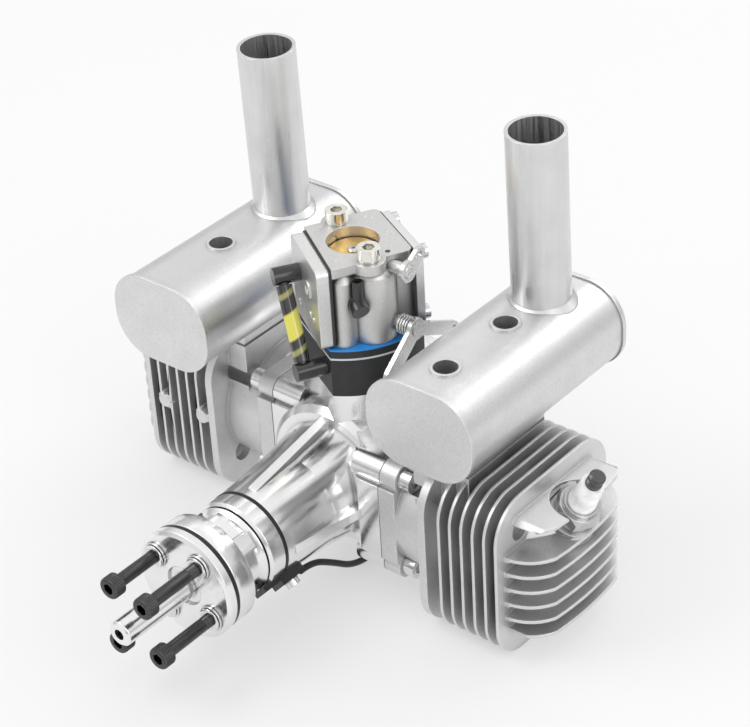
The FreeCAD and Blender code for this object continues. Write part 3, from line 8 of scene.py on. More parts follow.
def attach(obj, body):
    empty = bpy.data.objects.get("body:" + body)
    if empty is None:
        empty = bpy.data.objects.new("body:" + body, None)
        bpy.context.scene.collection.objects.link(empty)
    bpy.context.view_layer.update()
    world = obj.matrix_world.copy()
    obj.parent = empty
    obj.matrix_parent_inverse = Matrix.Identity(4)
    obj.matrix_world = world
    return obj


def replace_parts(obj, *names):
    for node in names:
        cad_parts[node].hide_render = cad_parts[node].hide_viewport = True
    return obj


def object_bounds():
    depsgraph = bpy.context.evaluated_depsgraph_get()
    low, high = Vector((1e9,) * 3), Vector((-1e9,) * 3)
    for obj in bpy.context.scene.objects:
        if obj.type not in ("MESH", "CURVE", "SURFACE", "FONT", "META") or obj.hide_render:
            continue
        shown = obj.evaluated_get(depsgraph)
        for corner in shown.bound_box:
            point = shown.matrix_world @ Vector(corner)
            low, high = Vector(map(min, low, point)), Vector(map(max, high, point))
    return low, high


# The looks of a flat twin petrol engine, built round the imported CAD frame.
# +Y is the rear, the propeller points along -Y, +X is the near cylinder and +Z is up.
# The pieces' own sizes are written in millimetres, the floor's and the lamps' in metres.

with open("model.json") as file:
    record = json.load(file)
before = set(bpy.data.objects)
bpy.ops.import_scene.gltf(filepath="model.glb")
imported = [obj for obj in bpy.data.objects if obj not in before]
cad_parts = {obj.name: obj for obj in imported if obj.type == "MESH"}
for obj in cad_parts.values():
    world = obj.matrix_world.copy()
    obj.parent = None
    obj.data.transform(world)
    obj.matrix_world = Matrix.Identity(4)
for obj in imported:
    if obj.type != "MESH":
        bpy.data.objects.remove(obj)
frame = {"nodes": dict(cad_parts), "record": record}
cad_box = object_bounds()
nodes = frame["nodes"]

MM = 0.001
FLOOR_Z = cad_box[0][2]


# Camera at the photograph's place

PICTURE_WIDTH = 750
PICTURE_HEIGHT = 727
FOCAL_PIXELS = 2414.782
MIDDLE_PIXEL = (385.249, 338.282)
CAMERA_AZIMUTH = math.radians(40.638)
CAMERA_HEIGHT = math.radians(32.742)
CAMERA_ROLL = math.radians(-3.318)
CAMERA_SHIFT = (6.1024 * MM, 41.008 * MM)
CAMERA_DISTANCE = 918.14 * MM
SENSOR_WIDTH = 36.0


def make_camera():
    """A camera with the photograph's direction, distance and framing."""
    backward = Vector((
        math.sin(CAMERA_AZIMUTH) * math.cos(CAMERA_HEIGHT),
        -math.cos(CAMERA_AZIMUTH) * math.cos(CAMERA_HEIGHT),
        math.sin(CAMERA_HEIGHT),
    ))
    level = Vector((0, 0, 1)).cross(backward).normalized()
    upright = backward.cross(level)
    right = math.cos(CAMERA_ROLL) * level + math.sin(CAMERA_ROLL) * upright
    up = math.cos(CAMERA_ROLL) * upright - math.sin(CAMERA_ROLL) * level
    place = right * CAMERA_SHIFT[0] + up * CAMERA_SHIFT[1] + backward * CAMERA_DISTANCE
    turn = Matrix((right, up, backward)).transposed().to_4x4()
    data = bpy.data.cameras.new("camera")
    data.sensor_width = SENSOR_WIDTH
    data.sensor_fit = "HORIZONTAL"
    data.lens = FOCAL_PIXELS * SENSOR_WIDTH / PICTURE_WIDTH
    data.shift_x = (PICTURE_WIDTH / 2 - MIDDLE_PIXEL[0]) / PICTURE_WIDTH
    data.shift_y = (MIDDLE_PIXEL[1] - PICTURE_HEIGHT / 2) / PICTURE_WIDTH
    data.clip_start = 0.01
    camera = bpy.data.objects.new("camera", data)
    bpy.context.scene.collection.objects.link(camera)
    camera.matrix_world = Matrix.Translation(place) @ turn
    bpy.context.scene.camera = camera


# Materials

class Surface:
    """A material made from a Principled shader and small graphs of nodes."""

    def __init__(self, name, colour, roughness, metallic=1.0):
        self.material = bpy.data.materials.new(name)
        self.material.use_nodes = True
        self.tree = self.material.node_tree
        self.shader = self.tree.nodes["Principled BSDF"]
        self.colour = colour
        self.roughness = roughness
        self.shader.inputs["Base Color"].default_value = (*colour, 1)
        self.shader.inputs["Roughness"].default_value = roughness
        self.shader.inputs["Metallic"].default_value = metallic
        self.place = self.add("ShaderNodeTexCoord").outputs["Object"]

    def add(self, kind, **values):
        node = self.tree.nodes.new(kind)
        for name, value in values.items():
            setattr(node, name, value)
        return node

    def join(self, output, entry):
        self.tree.links.new(output, entry)

    def set(self, name, value):
        self.shader.inputs[name].default_value = value

    def noise(self, grain, detail, stretch=(1, 1, 1)):
        """Noise whose lumps are about grain metres wide, drawn out by stretch."""
        scaled = self.add("ShaderNodeVectorMath", operation="MULTIPLY")
        self.join(self.place, scaled.inputs[0])
        scaled.inputs[1].default_value = [1 / factor for factor in stretch]
        texture = self.add("ShaderNodeTexNoise")
        texture.inputs["Scale"].default_value = 1 / grain
        texture.inputs["Detail"].default_value = detail
        self.join(scaled.outputs[0], texture.inputs["Vector"])
        return texture.outputs["Fac"]

    def span(self, value, low, high, start=0.3, end=0.7):
        """Value from start to end becomes low to high."""
        node = self.add("ShaderNodeMapRange")
        node.inputs["From Min"].default_value = start
        node.inputs["From Max"].default_value = end
        node.inputs["To Min"].default_value = low
        node.inputs["To Max"].default_value = high
        self.join(value, node.inputs["Value"])
        return node.outputs["Result"]

    def ramp(self, value, *stops):
        """Colours by value. Each stop is (place, colour)."""
        node = self.add("ShaderNodeValToRGB")
        band = node.color_ramp
        while len(band.elements) < len(stops):
            band.elements.new(0.5)
        for element, (spot, colour) in zip(band.elements, stops):
            element.position = spot
            element.color = (*colour, 1)
        self.join(value, node.inputs["Fac"])
        return node.outputs["Color"]

    def mix(self, factor, first, second):
        """First where factor is 0, second where it is 1. Each is a colour or an output."""
        node = self.add("ShaderNodeMix", data_type="RGBA")
        self.join(factor, node.inputs["Factor"])
        for entry, colour in (("A", first), ("B", second)):
            socket = [s for s in node.inputs if s.name == entry and s.type == "RGBA"][0]
            if isinstance(colour, tuple):
                socket.default_value = (*colour, 1)
            else:
                self.join(colour, socket)
        return [s for s in node.outputs if s.type == "RGBA"][0]

    def paint(self, colour):
        self.join(colour, self.shader.inputs["Base Color"])

    def polish(self, roughness):
        self.join(roughness, self.shader.inputs["Roughness"])

    def rounding(self, radius):
        """A normal that rounds the edges over, and a mask that is 1 on them."""
        bevel = self.add("ShaderNodeBevel", samples=4)
        bevel.inputs["Radius"].default_value = radius
        flat = self.add("ShaderNodeNewGeometry")
        dot = self.add("ShaderNodeVectorMath", operation="DOT_PRODUCT")
        self.join(bevel.outputs["Normal"], dot.inputs[0])
        self.join(flat.outputs["Normal"], dot.inputs[1])
        return bevel.outputs["Normal"], self.span(dot.outputs["Value"], 1, 0, 0.75, 0.98)

    def painted_crevice_shade(self, reach, low, normal):
        """1 in the open, falling to low in corners and gaps about as deep as reach. Multiplied into a
        colour, it paints shade there.
        """
        shade = self.add("ShaderNodeAmbientOcclusion", samples=6)
        shade.inputs["Distance"].default_value = reach
        self.join(normal, shade.inputs["Normal"])
        return self.span(shade.outputs["AO"], low, 1.0, 0.15, 0.9)

    def dim(self, colour, share):
        """The colour multiplied by a grey share."""
        node = self.add("ShaderNodeVectorMath", operation="SCALE")
        self.join(colour, node.inputs[0])
        self.join(share, node.inputs["Scale"])
        return node.outputs[0]

    def along(self, start, end):
        """0 at the first point and 1 at the second, both in metres."""
        start = Vector(start)
        way = Vector(end) - start
        offset = self.add("ShaderNodeVectorMath", operation="SUBTRACT")
        self.join(self.place, offset.inputs[0])
        offset.inputs[1].default_value = start
        share = self.add("ShaderNodeVectorMath", operation="DOT_PRODUCT")
        self.join(offset.outputs[0], share.inputs[0])
        share.inputs[1].default_value = way / way.length_squared
        return share.outputs["Value"]

    def relief(self, height, depth, normal):
        """Bump of the given depth in metres, on top of a normal."""
        node = self.add("ShaderNodeBump")
        node.inputs["Distance"].default_value = depth
        self.join(height, node.inputs["Height"])
        self.join(normal, node.inputs["Normal"])
        self.join(node.outputs["Normal"], self.shader.inputs["Normal"])


def tint(colour, factor):
    return tuple(min(1.0, channel * factor) for channel in colour)


CLOUD_CONTRAST = 0.08


def cast_metal(name, colour, roughness, grain, depth, edge, edge_light):
    """Blasted or cast metal: fine pits, faint clouds, a painted highlight on its edges and painted shade in
    its corners and gaps.
    """
    surface = Surface(name, colour, roughness)
    clouds = surface.noise(9 * MM, 4)
    grains = surface.noise(grain, 2)
    dark = tint(colour, 1 - CLOUD_CONTRAST)
    light = tint(colour, 1 + CLOUD_CONTRAST)
    base = surface.ramp(clouds, (0.3, dark), (0.7, light))
    speck = surface.ramp(grains, (0.32, tint(colour, 0.8)), (0.5, tint(colour, 1.05)))
    blended = surface.mix(surface.span(grains, 0.0, 0.5), speck, base)
    normal, rim = surface.rounding(edge)
    # Painted highlight: the rounded edges are mixed towards a lighter colour, then painted shade darkens
    # corners and gaps.
    lit = surface.mix(rim, blended, tint(colour, edge_light))
    surface.paint(surface.dim(lit, surface.painted_crevice_shade(4 * MM, 0.55, normal)))
    surface.polish(surface.span(clouds, roughness + 0.05, roughness - 0.05))
    surface.relief(grains, depth, normal)
    return surface.material


def machined_metal(name, colour, roughness, stretch, line, anisotropy):
    """Milled, turned or polished metal with fine tool lines drawn out by stretch."""
    surface = Surface(name, colour, roughness)
    lines = surface.noise(line, 2, stretch)
    clouds = surface.noise(14 * MM, 3)
    normal, rim = surface.rounding(0.35 * MM)
    base = surface.ramp(clouds, (0.3, tint(colour, 0.94)), (0.7, tint(colour, 1.03)))
    # Painted highlight on the rounded edges, and painted shade in corners and gaps.
    lit = surface.mix(rim, base, tint(colour, 1.1))
    surface.paint(surface.dim(lit, surface.painted_crevice_shade(2 * MM, 0.4, normal)))
    surface.polish(surface.span(lines, roughness * 0.7, roughness * 1.4))
    surface.relief(lines, 0.004 * MM, normal)
    if anisotropy:
        surface.set("Anisotropic", anisotropy)
        tangent = surface.add("ShaderNodeTangent", direction_type="RADIAL", axis="Y")
        surface.join(tangent.outputs["Tangent"], surface.shader.inputs["Tangent"])
    return surface.material


def plain_metal(name, colour, roughness, worn_edge_and_highlight):
    """Plated or oxidised steel with soft roundings, a painted highlight on its edges and painted shade in
    its corners and gaps. Where an edge colour is given, it stands for worn edges and painted highlight both.
    """
    surface = Surface(name, colour, roughness)
    clouds = surface.noise(3 * MM, 4)
    grains = surface.noise(0.3 * MM, 2)
    normal, rim = surface.rounding(0.25 * MM)
    base = surface.ramp(clouds, (0.3, tint(colour, 0.88)), (0.7, tint(colour, 1.08)))
    # Edge colour: partly worn edge, partly painted highlight; then painted shade in corners and gaps.
    lit = surface.mix(rim, base, worn_edge_and_highlight or tint(colour, 1.1))
    surface.paint(surface.dim(lit, surface.painted_crevice_shade(1.5 * MM, 0.3, normal)))
    surface.polish(surface.span(grains, roughness * 0.8, roughness * 1.3))
    surface.relief(grains, 0.006 * MM, normal)
    return surface.material


def moulding(name, colour, roughness, coat, depth):
    """Plastic, rubber, fibre or glaze: no metal, a fine skin, soft edges and a painted highlight on them."""
    surface = Surface(name, colour, roughness, metallic=0.0)
    clouds = surface.noise(5 * MM, 3)
    grains = surface.noise(0.4 * MM, 2)
    normal, rim = surface.rounding(0.3 * MM)
    base = surface.ramp(clouds, (0.3, tint(colour, 0.85)), (0.7, tint(colour, 1.12)))
    # Painted highlight: the edges are mixed towards a lighter colour.
    surface.paint(surface.mix(rim, base, tint(colour, 1.3)))
    surface.set("Specular IOR Level", 0.38)
    surface.polish(surface.span(grains, roughness * 0.85, roughness * 1.15))
    surface.relief(grains, depth, normal)
    if coat:
        surface.set("Coat Weight", coat)
        surface.set("Coat Roughness", 0.08)
    return surface.material


HOSE_TOP = (-20.4, -27.3, 79.0)
HOSE_FOOT = (-1.1, -21.2, 48.5)


def clear_hose(name):
    """A clear yellow hose over black barbs, which show at both its ends."""
    yellow = (0.66, 0.62, 0.09)
    dark = (0.02, 0.02, 0.018)
    glint = (0.30, 0.29, 0.10)
    surface = Surface(name, yellow, 0.12, metallic=0.0)
    share = surface.along([c * MM for c in HOSE_TOP], [c * MM for c in HOSE_FOOT])
    surface.paint(surface.ramp(
        share, (0.0, dark), (0.17, dark), (0.19, glint), (0.22, glint), (0.24, dark),
        (0.36, dark), (0.38, yellow), (0.60, yellow), (0.62, dark),
        (0.69, dark), (0.71, glint), (0.74, glint), (0.76, dark), (1.0, dark),
    ))
    surface.set("Coat Weight", 0.8)
    surface.set("Coat Roughness", 0.05)
    return surface.material


def gasket_pair(name, upper, lower, height):
    """One colour above a height in metres and another below it."""
    surface = Surface(name, upper, 0.5, metallic=0.0)
    share = surface.along((0, 0, height - 0.1 * MM), (0, 0, height + 0.1 * MM))
    surface.paint(surface.ramp(share, (0.0, lower), (1.0, upper)))
    return surface.material


ALONG_Y = (1, 40, 1)
ALONG_X = (30, 1, 1)
UPRIGHT = (1, 1, 30)
BRUSHED_UP = (1, 1, 6)
ACROSS_BORE = (1, 20, 20)
TURNED = (6, 1, 6)


def grey(level):
    return level, level, level


# Each of these gives a function that makes a finish under the name it is called with.
# The sizes that they take are millimetres.

def cast_finish(colour, roughness, grain, depth, edge, edge_light):
    return lambda name: cast_metal(
        name, colour, roughness, grain * MM, depth * MM, edge * MM, edge_light)


def plain_finish(colour, roughness, worn_edge_and_highlight=None):
    return lambda name: plain_metal(name, colour, roughness, worn_edge_and_highlight)


def machined_finish(colour, roughness, stretch, line=0.25, anisotropy=0.0):
    return lambda name: machined_metal(name, colour, roughness, stretch, line * MM, anisotropy)


def moulded_finish(colour, roughness, coat=0.0, depth=0.02):
    return lambda name: moulding(name, colour, roughness, coat, depth * MM)


def gasket_finish(upper, lower, height):
    return lambda name: gasket_pair(name, upper, lower, height * MM)


# A cast finish's last number lightens its edges, a painted highlight. A plain finish's third colour is its
# edge colour, partly worn edge and partly painted highlight.
FINISHES = {
    "crankcase_metal": machined_finish(grey(0.87), 0.17, ALONG_Y, 0.5),
    "cover_metal": machined_finish(grey(0.81), 0.22, ALONG_X),
    "cylinder_metal": cast_finish(grey(0.72), 0.48, 0.3, 0.035, 0.55, 1.35),
    "muffler_metal": cast_finish(grey(0.71), 0.42, 0.32, 0.05, 0.5, 1.25),
    "stack_metal": machined_finish(grey(0.70), 0.36, UPRIGHT, 1.2),
    "steel": plain_finish(grey(0.61), 0.25),
    "piston_metal": machined_finish(grey(0.70), 0.3, ACROSS_BORE),
    "hub_metal": machined_finish(grey(0.88), 0.18, TURNED, 0.4, anisotropy=0.6),
    "black_bolt": plain_finish(grey(0.075), 0.3, grey(0.36)),
    "plated_steel": plain_finish((0.80, 0.80, 0.81), 0.14),
    "gold_zinc": plain_finish((0.83, 0.82, 0.76), 0.12, (0.90, 0.89, 0.86)),
    "cover_screw_steel": plain_finish((0.74, 0.74, 0.75), 0.2),
    "carb_metal": cast_finish((0.66, 0.655, 0.645), 0.44, 0.3, 0.035, 0.5, 1.3),
    "carb_cover_metal": cast_finish((0.80, 0.80, 0.79), 0.36, 0.3, 0.03, 0.6, 1.15),
    "brass": plain_finish((0.82, 0.56, 0.22), 0.28, (0.95, 0.78, 0.45)),
    "lever_steel": machined_finish((0.68, 0.68, 0.675), 0.28, BRUSHED_UP),
    "black_plastic": moulded_finish(grey(0.028), 0.42),
    "reed_plastic": moulded_finish(grey(0.05), 0.45),
    "blue_gasket": gasket_finish((0.02, 0.26, 0.72), (0.62, 0.66, 0.70), 56),
    "gasket": gasket_finish(grey(0.03), grey(0.16), 50),
    "plug_steel": plain_finish(grey(0.56), 0.2, grey(0.85)),
    "ceramic": moulded_finish((0.90, 0.90, 0.89), 0.22, coat=0.6, depth=0.002),
    "plug_terminal": plain_finish((0.12, 0.12, 0.125), 0.35, grey(0.3)),
    "elbow_plastic": moulded_finish(grey(0.022), 0.22, coat=0.5),
    "hose": clear_hose,
    "lead_rubber": moulded_finish(grey(0.015), 0.4),
}
materials = {}


def finish_of(slot):
    """The material of a slot, made when it is first asked for."""
    if slot not in materials:
        materials[slot] = FINISHES[slot](slot)
    return materials[slot]


def dress_nodes():
    """Give every CAD node the finish of its slot."""
    for part in frame["record"]["subparts"]:
        piece = nodes[part["node"]]
        piece.data.materials.clear()
        piece.data.materials.append(finish_of(part["material_slot"]))


# Making pieces

def keep(piece, slot, body):
    """Finish a new piece and fix it to a body."""
    piece.data.materials.clear()
    piece.data.materials.append(finish_of(slot))
    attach(piece, body)
    return piece


def new_mesh(name, vertices, faces):
    """A smooth mesh object at the frame's origin. The vertices are in metres."""
    mesh = bpy.data.meshes.new(name)
    mesh.from_pydata([tuple(vertex) for vertex in vertices], [], faces)
    mesh.validate()
    mesh.shade_smooth()
    piece = bpy.data.objects.new(name, mesh)
    bpy.context.scene.collection.objects.link(piece)
    return piece


def crisp_mesh(name, vertices, faces):
    """A smooth mesh whose edges of more than 35 degrees stay sharp."""
    piece = new_mesh(name, vertices, faces)
    piece.data.set_sharp_from_angle(angle=math.radians(35))
    return piece


FORWARD = (0, -1, 0)
UPWARD = (0, 0, 1)


def frame_of(direction):
    """Three axes, the last one along the given direction."""
    third = Vector(direction).normalized()
    side = Vector((0, 0, 1)) if abs(third.z) < 0.9 else Vector((1, 0, 0))
    first = side.cross(third).normalized()
    return first, third.cross(first), third


def ring_mesh(name, outline, steps=120):
    """A ring about the crankshaft's axis. The outline is (radius, station) points."""
    first, second, third = frame_of(FORWARD)
    vertices = []
    faces = []
    count = len(outline)
    for step in range(steps):
        angle = 2 * math.pi * step / steps
        outward = first * math.cos(angle) + second * math.sin(angle)
        vertices += [(outward * radius + third * station) * MM for radius, station in outline]
    for step in range(steps):
        here = step * count
        there = (step + 1) % steps * count
        for index in range(count):
            after = (index + 1) % count
            faces.append((here + index, here + after, there + after, there + index))
    return new_mesh(name, vertices, faces)


def band(radius_in, radius_out, low, high, soft=0.25, sides=4):
    """The outline of a ring whose two outer corners are rounded."""
    points = [(radius_in, low), (radius_in, high)]
    middle = radius_out - soft
    turns = [math.pi / 2 * step / sides for step in range(sides + 1)]
    for angle in turns:
        points.append((middle + soft * math.sin(angle), high - soft + soft * math.cos(angle)))
    for angle in turns:
        points.append((middle + soft * math.cos(angle), low + soft - soft * math.sin(angle)))
    return points


def curve_piece(name, points, radius):
    """A round tube on the NURBS curve of its control points, in metres."""
    data = bpy.data.curves.new(name, "CURVE")
    data.dimensions = "3D"
    data.bevel_depth = radius
    data.bevel_resolution = 6
    data.resolution_u = 8
    data.use_fill_caps = True
    spline = data.splines.new("NURBS")
    spline.points.add(len(points) - 1)
    for entry, point in zip(spline.points, points):
        entry.co = (*point, 1)
    spline.order_u = 3
    spline.use_endpoint_u = True
    piece = bpy.data.objects.new(name, data)
    bpy.context.scene.collection.objects.link(piece)
    return piece


# The sensor's lead

LEAD_RADIUS = 1.25
LEAD_ROUTE = [
    (15.7, -60.5, -14.2), (15.7, -53.5, -14.2), (16.8, -44.0, -20.0), (17.6, -33.5, -28.0),
    (16.0, -18.0, -32.0), (13.0, -1.0, -32.0), (12.2, 18.0, -32.0), (9.0, 36.0, -32.0),
    (-2.0, 52.0, -32.0), (-17.0, 61.0, -32.0),
]
COIL_MIDDLE = (-45.0, 75.9)
COIL_FLOOR = -32.0
LEAD_TAIL = [
    (-58.2, 82.0, -29.6), (-55.5, 87.5, -30.4), (-50.0, 90.8, -31.4), (-45.6, 92.6, -31.6),
    (-45.0, 97.0, -31.6),
]
COIL_START = -90
COIL_STEPS = 16
OUTER_TURN = 14.75
INNER_TURN = 12.25
TOP_TURN = 13.5
TOP_LEVEL = 2.2
INWARD_RATE = 10
OUTWARD_RATE = 5
CLIMB_RATE = 9

TIE_WIDTH = 3.0
TIE_THICKNESS = 0.45
TIE_HALF = 3.1
TIE_FOOT = 0.1
TIE_TOP = 4.7
TIE_MIDDLE = 2.4


def coil_turns():
    """Three and a quarter turns: one outside, one inside it, one on top of both."""
    points = []
    for step in range(3 * COIL_STEPS + COIL_STEPS // 4 + 1):
        turn = step / COIL_STEPS
        angle = math.radians(COIL_START - 360 * turn)
        if turn < 1:
            radius, level = OUTER_TURN, 0.0
        elif turn < 2:
            radius, level = max(INNER_TURN, OUTER_TURN - INWARD_RATE * (turn - 1)), 0.0
        else:
            radius = min(TOP_TURN, INNER_TURN + OUTWARD_RATE * (turn - 2))
            level = min(TOP_LEVEL, CLIMB_RATE * (turn - 2))
        points.append((
            COIL_MIDDLE[0] + radius * math.cos(angle), COIL_MIDDLE[1] + radius * math.sin(angle),
            COIL_FLOOR + level,
        ))
    return points


def lead_tie():
    """A flat strip bent round the coil's bundle, as a closed loop upright on the floor."""
    loop = []
    for x, z in ((-TIE_HALF, TIE_FOOT), (-TIE_HALF, TIE_TOP), (TIE_HALF, TIE_TOP), (TIE_HALF, TIE_FOOT)):
        for part in (0.75, 1.0, 0.75):
            loop.append((x * part, z * part + (1 - part) * TIE_TOP / 2))
    foot = Vector((COIL_MIDDLE[0] + TOP_TURN, COIL_MIDDLE[1], COIL_FLOOR - LEAD_RADIUS))
    vertices = []
    faces = []
    for x, z in loop:
        outward = Vector((x, 0, z - TIE_MIDDLE)).normalized() * TIE_THICKNESS
        for push in (0, 1):
            for side in (-TIE_WIDTH / 2, TIE_WIDTH / 2):
                corner = Vector((x + outward.x * push, side, z + max(outward.z, 0) * push))
                vertices.append((foot + corner) * MM)
    for index in range(len(loop)):
        here = index * 4
        there = (index + 1) % len(loop) * 4
        faces += [
            (here, here + 1, there + 1, there), (here + 2, there + 2, there + 3, here + 3),
            (here, there, there + 2, here + 2), (here + 1, here + 3, there + 3, there + 1),
        ]
    return keep(new_mesh("lead_tie", vertices, faces), "lead_rubber", "engine")


def make_lead():
    """The sensor's lead along its route, coiled behind the engine, with its tie."""
    route = LEAD_ROUTE + coil_turns() + LEAD_TAIL
    lead = curve_piece("lead", [tuple(c * MM for c in point) for point in route], LEAD_RADIUS * MM)
    keep(lead, "lead_rubber", "engine")
    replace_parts(lead, "sensor_lead", "lead_coil")
    strip = lead_tie()


# Turned pieces

def add_turning(vertices, faces, rings, base, direction, steps):
    """Add a form turned about a direction. A ring is (station, radius or radius by angle)."""
    first, second, third = frame_of(direction)
    base = Vector(base)
    start = len(vertices)
    for station, radius in rings:
        for step in range(steps):
            angle = 2 * math.pi * step / steps
            reach = radius(angle) if callable(radius) else radius
            spot = base + third * station + (first * math.cos(angle) + second * math.sin(angle)) * reach
            vertices.append(spot * MM)
    for ring in range(len(rings) - 1):
        low = start + ring * steps
        for step in range(steps):
            after = (step + 1) % steps
            faces.append((low + step, low + after, low + steps + after, low + steps + step))
    faces.append(tuple(start + step for step in reversed(range(steps))))
    end = start + (len(rings) - 1) * steps
    faces.append(tuple(end + step for step in range(steps)))


def turned_piece(name, slot, body, *turnings):
    """One piece of turned forms, each given as (rings, base, direction, steps)."""
    vertices = []
    faces = []
    for turning in turnings:
        add_turning(vertices, faces, *turning)
    return keep(crisp_mesh(name, vertices, faces), slot, body)


# The propeller's bolts and washers

def hexagon_reach(across):
    """Radius by angle of a hexagon of the given width across its flats."""
    def reach(angle):
        offset = (angle + math.pi / 6) % (math.pi / 3) - math.pi / 6
        return across / 2 / math.cos(offset)
    return reach


def knurl_reach(radius, depth, teeth):
    """Radius by angle of a head with rounded teeth."""
    return lambda angle: radius - depth * (0.5 + 0.5 * math.cos(angle * teeth))


PROP_CIRCLE = 15.0
PROP_FIRST = 55.2
PROP_HEADS = (132.7, 128.0, 130.4, 131.5)
BOLT_HEAD_RADIUS = 4.25
BOLT_HEAD_HEIGHT = 5
BOLT_RADIUS = 2.5
BOLT_LENGTH = 45
BOLT_THREADED = 27
THREAD_PITCH = 0.8
BOLT_SOCKET = 4.0
KNURL_DEPTH = 0.34
KNURL_TEETH = 30


def bolt_rings():
    """Rings of a propeller bolt from its tip to the floor of its socket."""
    rings = [(-BOLT_LENGTH, BOLT_RADIUS - 0.5), (-BOLT_LENGTH + 0.5, BOLT_RADIUS)]
    station = -BOLT_LENGTH + THREAD_PITCH
    while station < -BOLT_LENGTH + BOLT_THREADED:
        rings += [(station, BOLT_RADIUS), (station + THREAD_PITCH / 2, BOLT_RADIUS - 0.3)]
        station += THREAD_PITCH
    side = knurl_reach(BOLT_HEAD_RADIUS, KNURL_DEPTH, KNURL_TEETH)
    socket = hexagon_reach(BOLT_SOCKET)
    rings += [
        (station + 0.4, BOLT_RADIUS), (0, BOLT_RADIUS), (0.02, BOLT_HEAD_RADIUS - 0.3), (0.25, side),
        (BOLT_HEAD_HEIGHT - 0.75, side), (BOLT_HEAD_HEIGHT - 0.3, BOLT_HEAD_RADIUS - 0.2),
        (BOLT_HEAD_HEIGHT - 0.05, BOLT_HEAD_RADIUS - 0.55), (BOLT_HEAD_HEIGHT, BOLT_HEAD_RADIUS - 0.9),
        (BOLT_HEAD_HEIGHT, hexagon_reach(BOLT_SOCKET + 0.25)), (BOLT_HEAD_HEIGHT - 0.15, socket),
        (BOLT_HEAD_HEIGHT * 0.45, socket), (BOLT_HEAD_HEIGHT * 0.45 - 0.3, 0.3),
    ]
    return rings


def prop_place(quarter, station):
    """The middle of a propeller bolt, at a distance in front of the cylinders."""
    angle = math.radians(PROP_FIRST + 90 * quarter)
    return PROP_CIRCLE * math.cos(angle), -station, PROP_CIRCLE * math.sin(angle)


def make_prop_bolts():
    """The four black bolts, with knurled heads, sockets and threads."""
    rings = bolt_rings()
    bolts = turned_piece("propeller_bolts", "black_bolt", "crank", *(
        (rings, prop_place(quarter, head - BOLT_HEAD_HEIGHT), FORWARD, 120)
        for quarter, head in enumerate(PROP_HEADS)
    ))
    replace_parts(bolts, "prop_bolts")


WASHER_FACE = 103.5


def make_washers():
    """A flat washer and a spring washer under each black bolt."""
    rings = [
        (0, 4.75), (0.15, 4.9), (0.8, 4.9), (0.98, 4.7), (1.0, 4.1), (1.05, 3.75), (1.2, 4.25), (1.45, 4.45),
        (1.75, 4.4), (1.95, 4.1), (2.0, 3.6), (1.95, 2.7),
    ]
    pairs = turned_piece("washers", "plated_steel", "crank", *(
        (rings, prop_place(quarter, WASHER_FACE), FORWARD, 48) for quarter in range(4)
    ))
    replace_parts(pairs, "bolt_washers")


# The propeller hub

HUB_BACK = 78.0
HUB_FLARE = 17.6
FLARE_LENGTH = 3.2
DRUM_RADIUS = 15.5
JAW_RADIUS = 18.4
JAW_FIRST = 31.0
JAW_SPLIT = 54.0
JAW_LAST = 95.0
SHORT_JAW_BACK = 81.4
LONG_JAW_BACK = 80.3
JAW_ROUND = 0.6
JAW_ROUND_ANGLE = 2.2
SCORE_ANGLE = 1.3
SCORE_DEPTH = 0.35
SHOULDER = 89.6
RIM_RADIUS = 21.5
RIM_FRONT = 97.8
SEAT_RADIUS = 20.9
SEAT_FRONT = 99.6
HUB_BORE = 9.0


def hub_reach(station):
    """Radius by angle of the hub at a distance in front of the cylinders."""
    flare = max(0.0, 1 - (station - HUB_BACK) / FLARE_LENGTH)
    drum = DRUM_RADIUS + (HUB_FLARE - DRUM_RADIUS) * flare * flare

    def reach(angle):
        degrees = math.degrees(angle) % 180
        if not JAW_FIRST < degrees < JAW_LAST:
            return drum
        back = LONG_JAW_BACK if degrees < JAW_SPLIT else SHORT_JAW_BACK
        if station < back:
            return drum
        inside = min(degrees - JAW_FIRST, JAW_LAST - degrees)
        soft = min(1.0, (station - back) / JAW_ROUND, inside / JAW_ROUND_ANGLE)
        score = SCORE_DEPTH if abs(degrees - JAW_SPLIT) < SCORE_ANGLE else 0.0
        return max(drum, JAW_RADIUS - JAW_ROUND * (1 - soft) ** 2 - score)
    return reach


def make_hub():
    """The drive hub: flared drum, two pairs of jaws, rim and the seat of the black ring."""
    flare_stations = [HUB_BACK + 0.4 * step for step in range(1, 6)]
    jaw_stations = [80.29, 80.31, 80.6, 81.0, 81.39, 81.41, 81.7, 82.1, 84.0, 87.0, SHOULDER - 0.01]
    rings = [(HUB_BACK, HUB_BORE), (HUB_BACK, HUB_FLARE - 0.4)]
    rings += [(station, hub_reach(station)) for station in flare_stations + jaw_stations]
    rings += [
        (SHOULDER, RIM_RADIUS - 0.5), (SHOULDER + 0.15, RIM_RADIUS - 0.15), (SHOULDER + 0.5, RIM_RADIUS),
        (RIM_FRONT - 0.3, RIM_RADIUS), (RIM_FRONT, RIM_RADIUS - 0.3), (RIM_FRONT, SEAT_RADIUS),
        (SEAT_FRONT, SEAT_RADIUS), (SEAT_FRONT, HUB_BORE),
    ]
    hub = turned_piece("hub", "hub_metal", "crank", (rings, (0, 0, 0), FORWARD, 360))
    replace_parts(hub, "prop_hub")


# The carburettor, in whose own directions u and v lie across and z is up

INTAKE_TURN = Matrix.Rotation(math.radians(-28.0), 4, "Z")
PUMP_SLANT = Matrix.Rotation(math.radians(-4.8), 4, "Z")
PUMP_FACE = -20.5


def intake_point(u, v, z):
    """A place in the carburettor's own directions, which are turned about the upright."""
    return INTAKE_TURN @ Vector((u, v, z))


def pump_point(u, out, z):
    """A place on the pump cover, out millimetres in front of its slanted face."""
    return INTAKE_TURN @ (PUMP_SLANT @ Vector((u, PUMP_FACE - out, z)))


COLUMN_MIDDLE = (11.5, 0.8)
COLUMN_RADIUS = 9.0
COLUMN_BACK = 12.6
CASTING_FOOT = 58.1
FLANGE_UNDER = 88.0
CASTING_TOP = 92.0


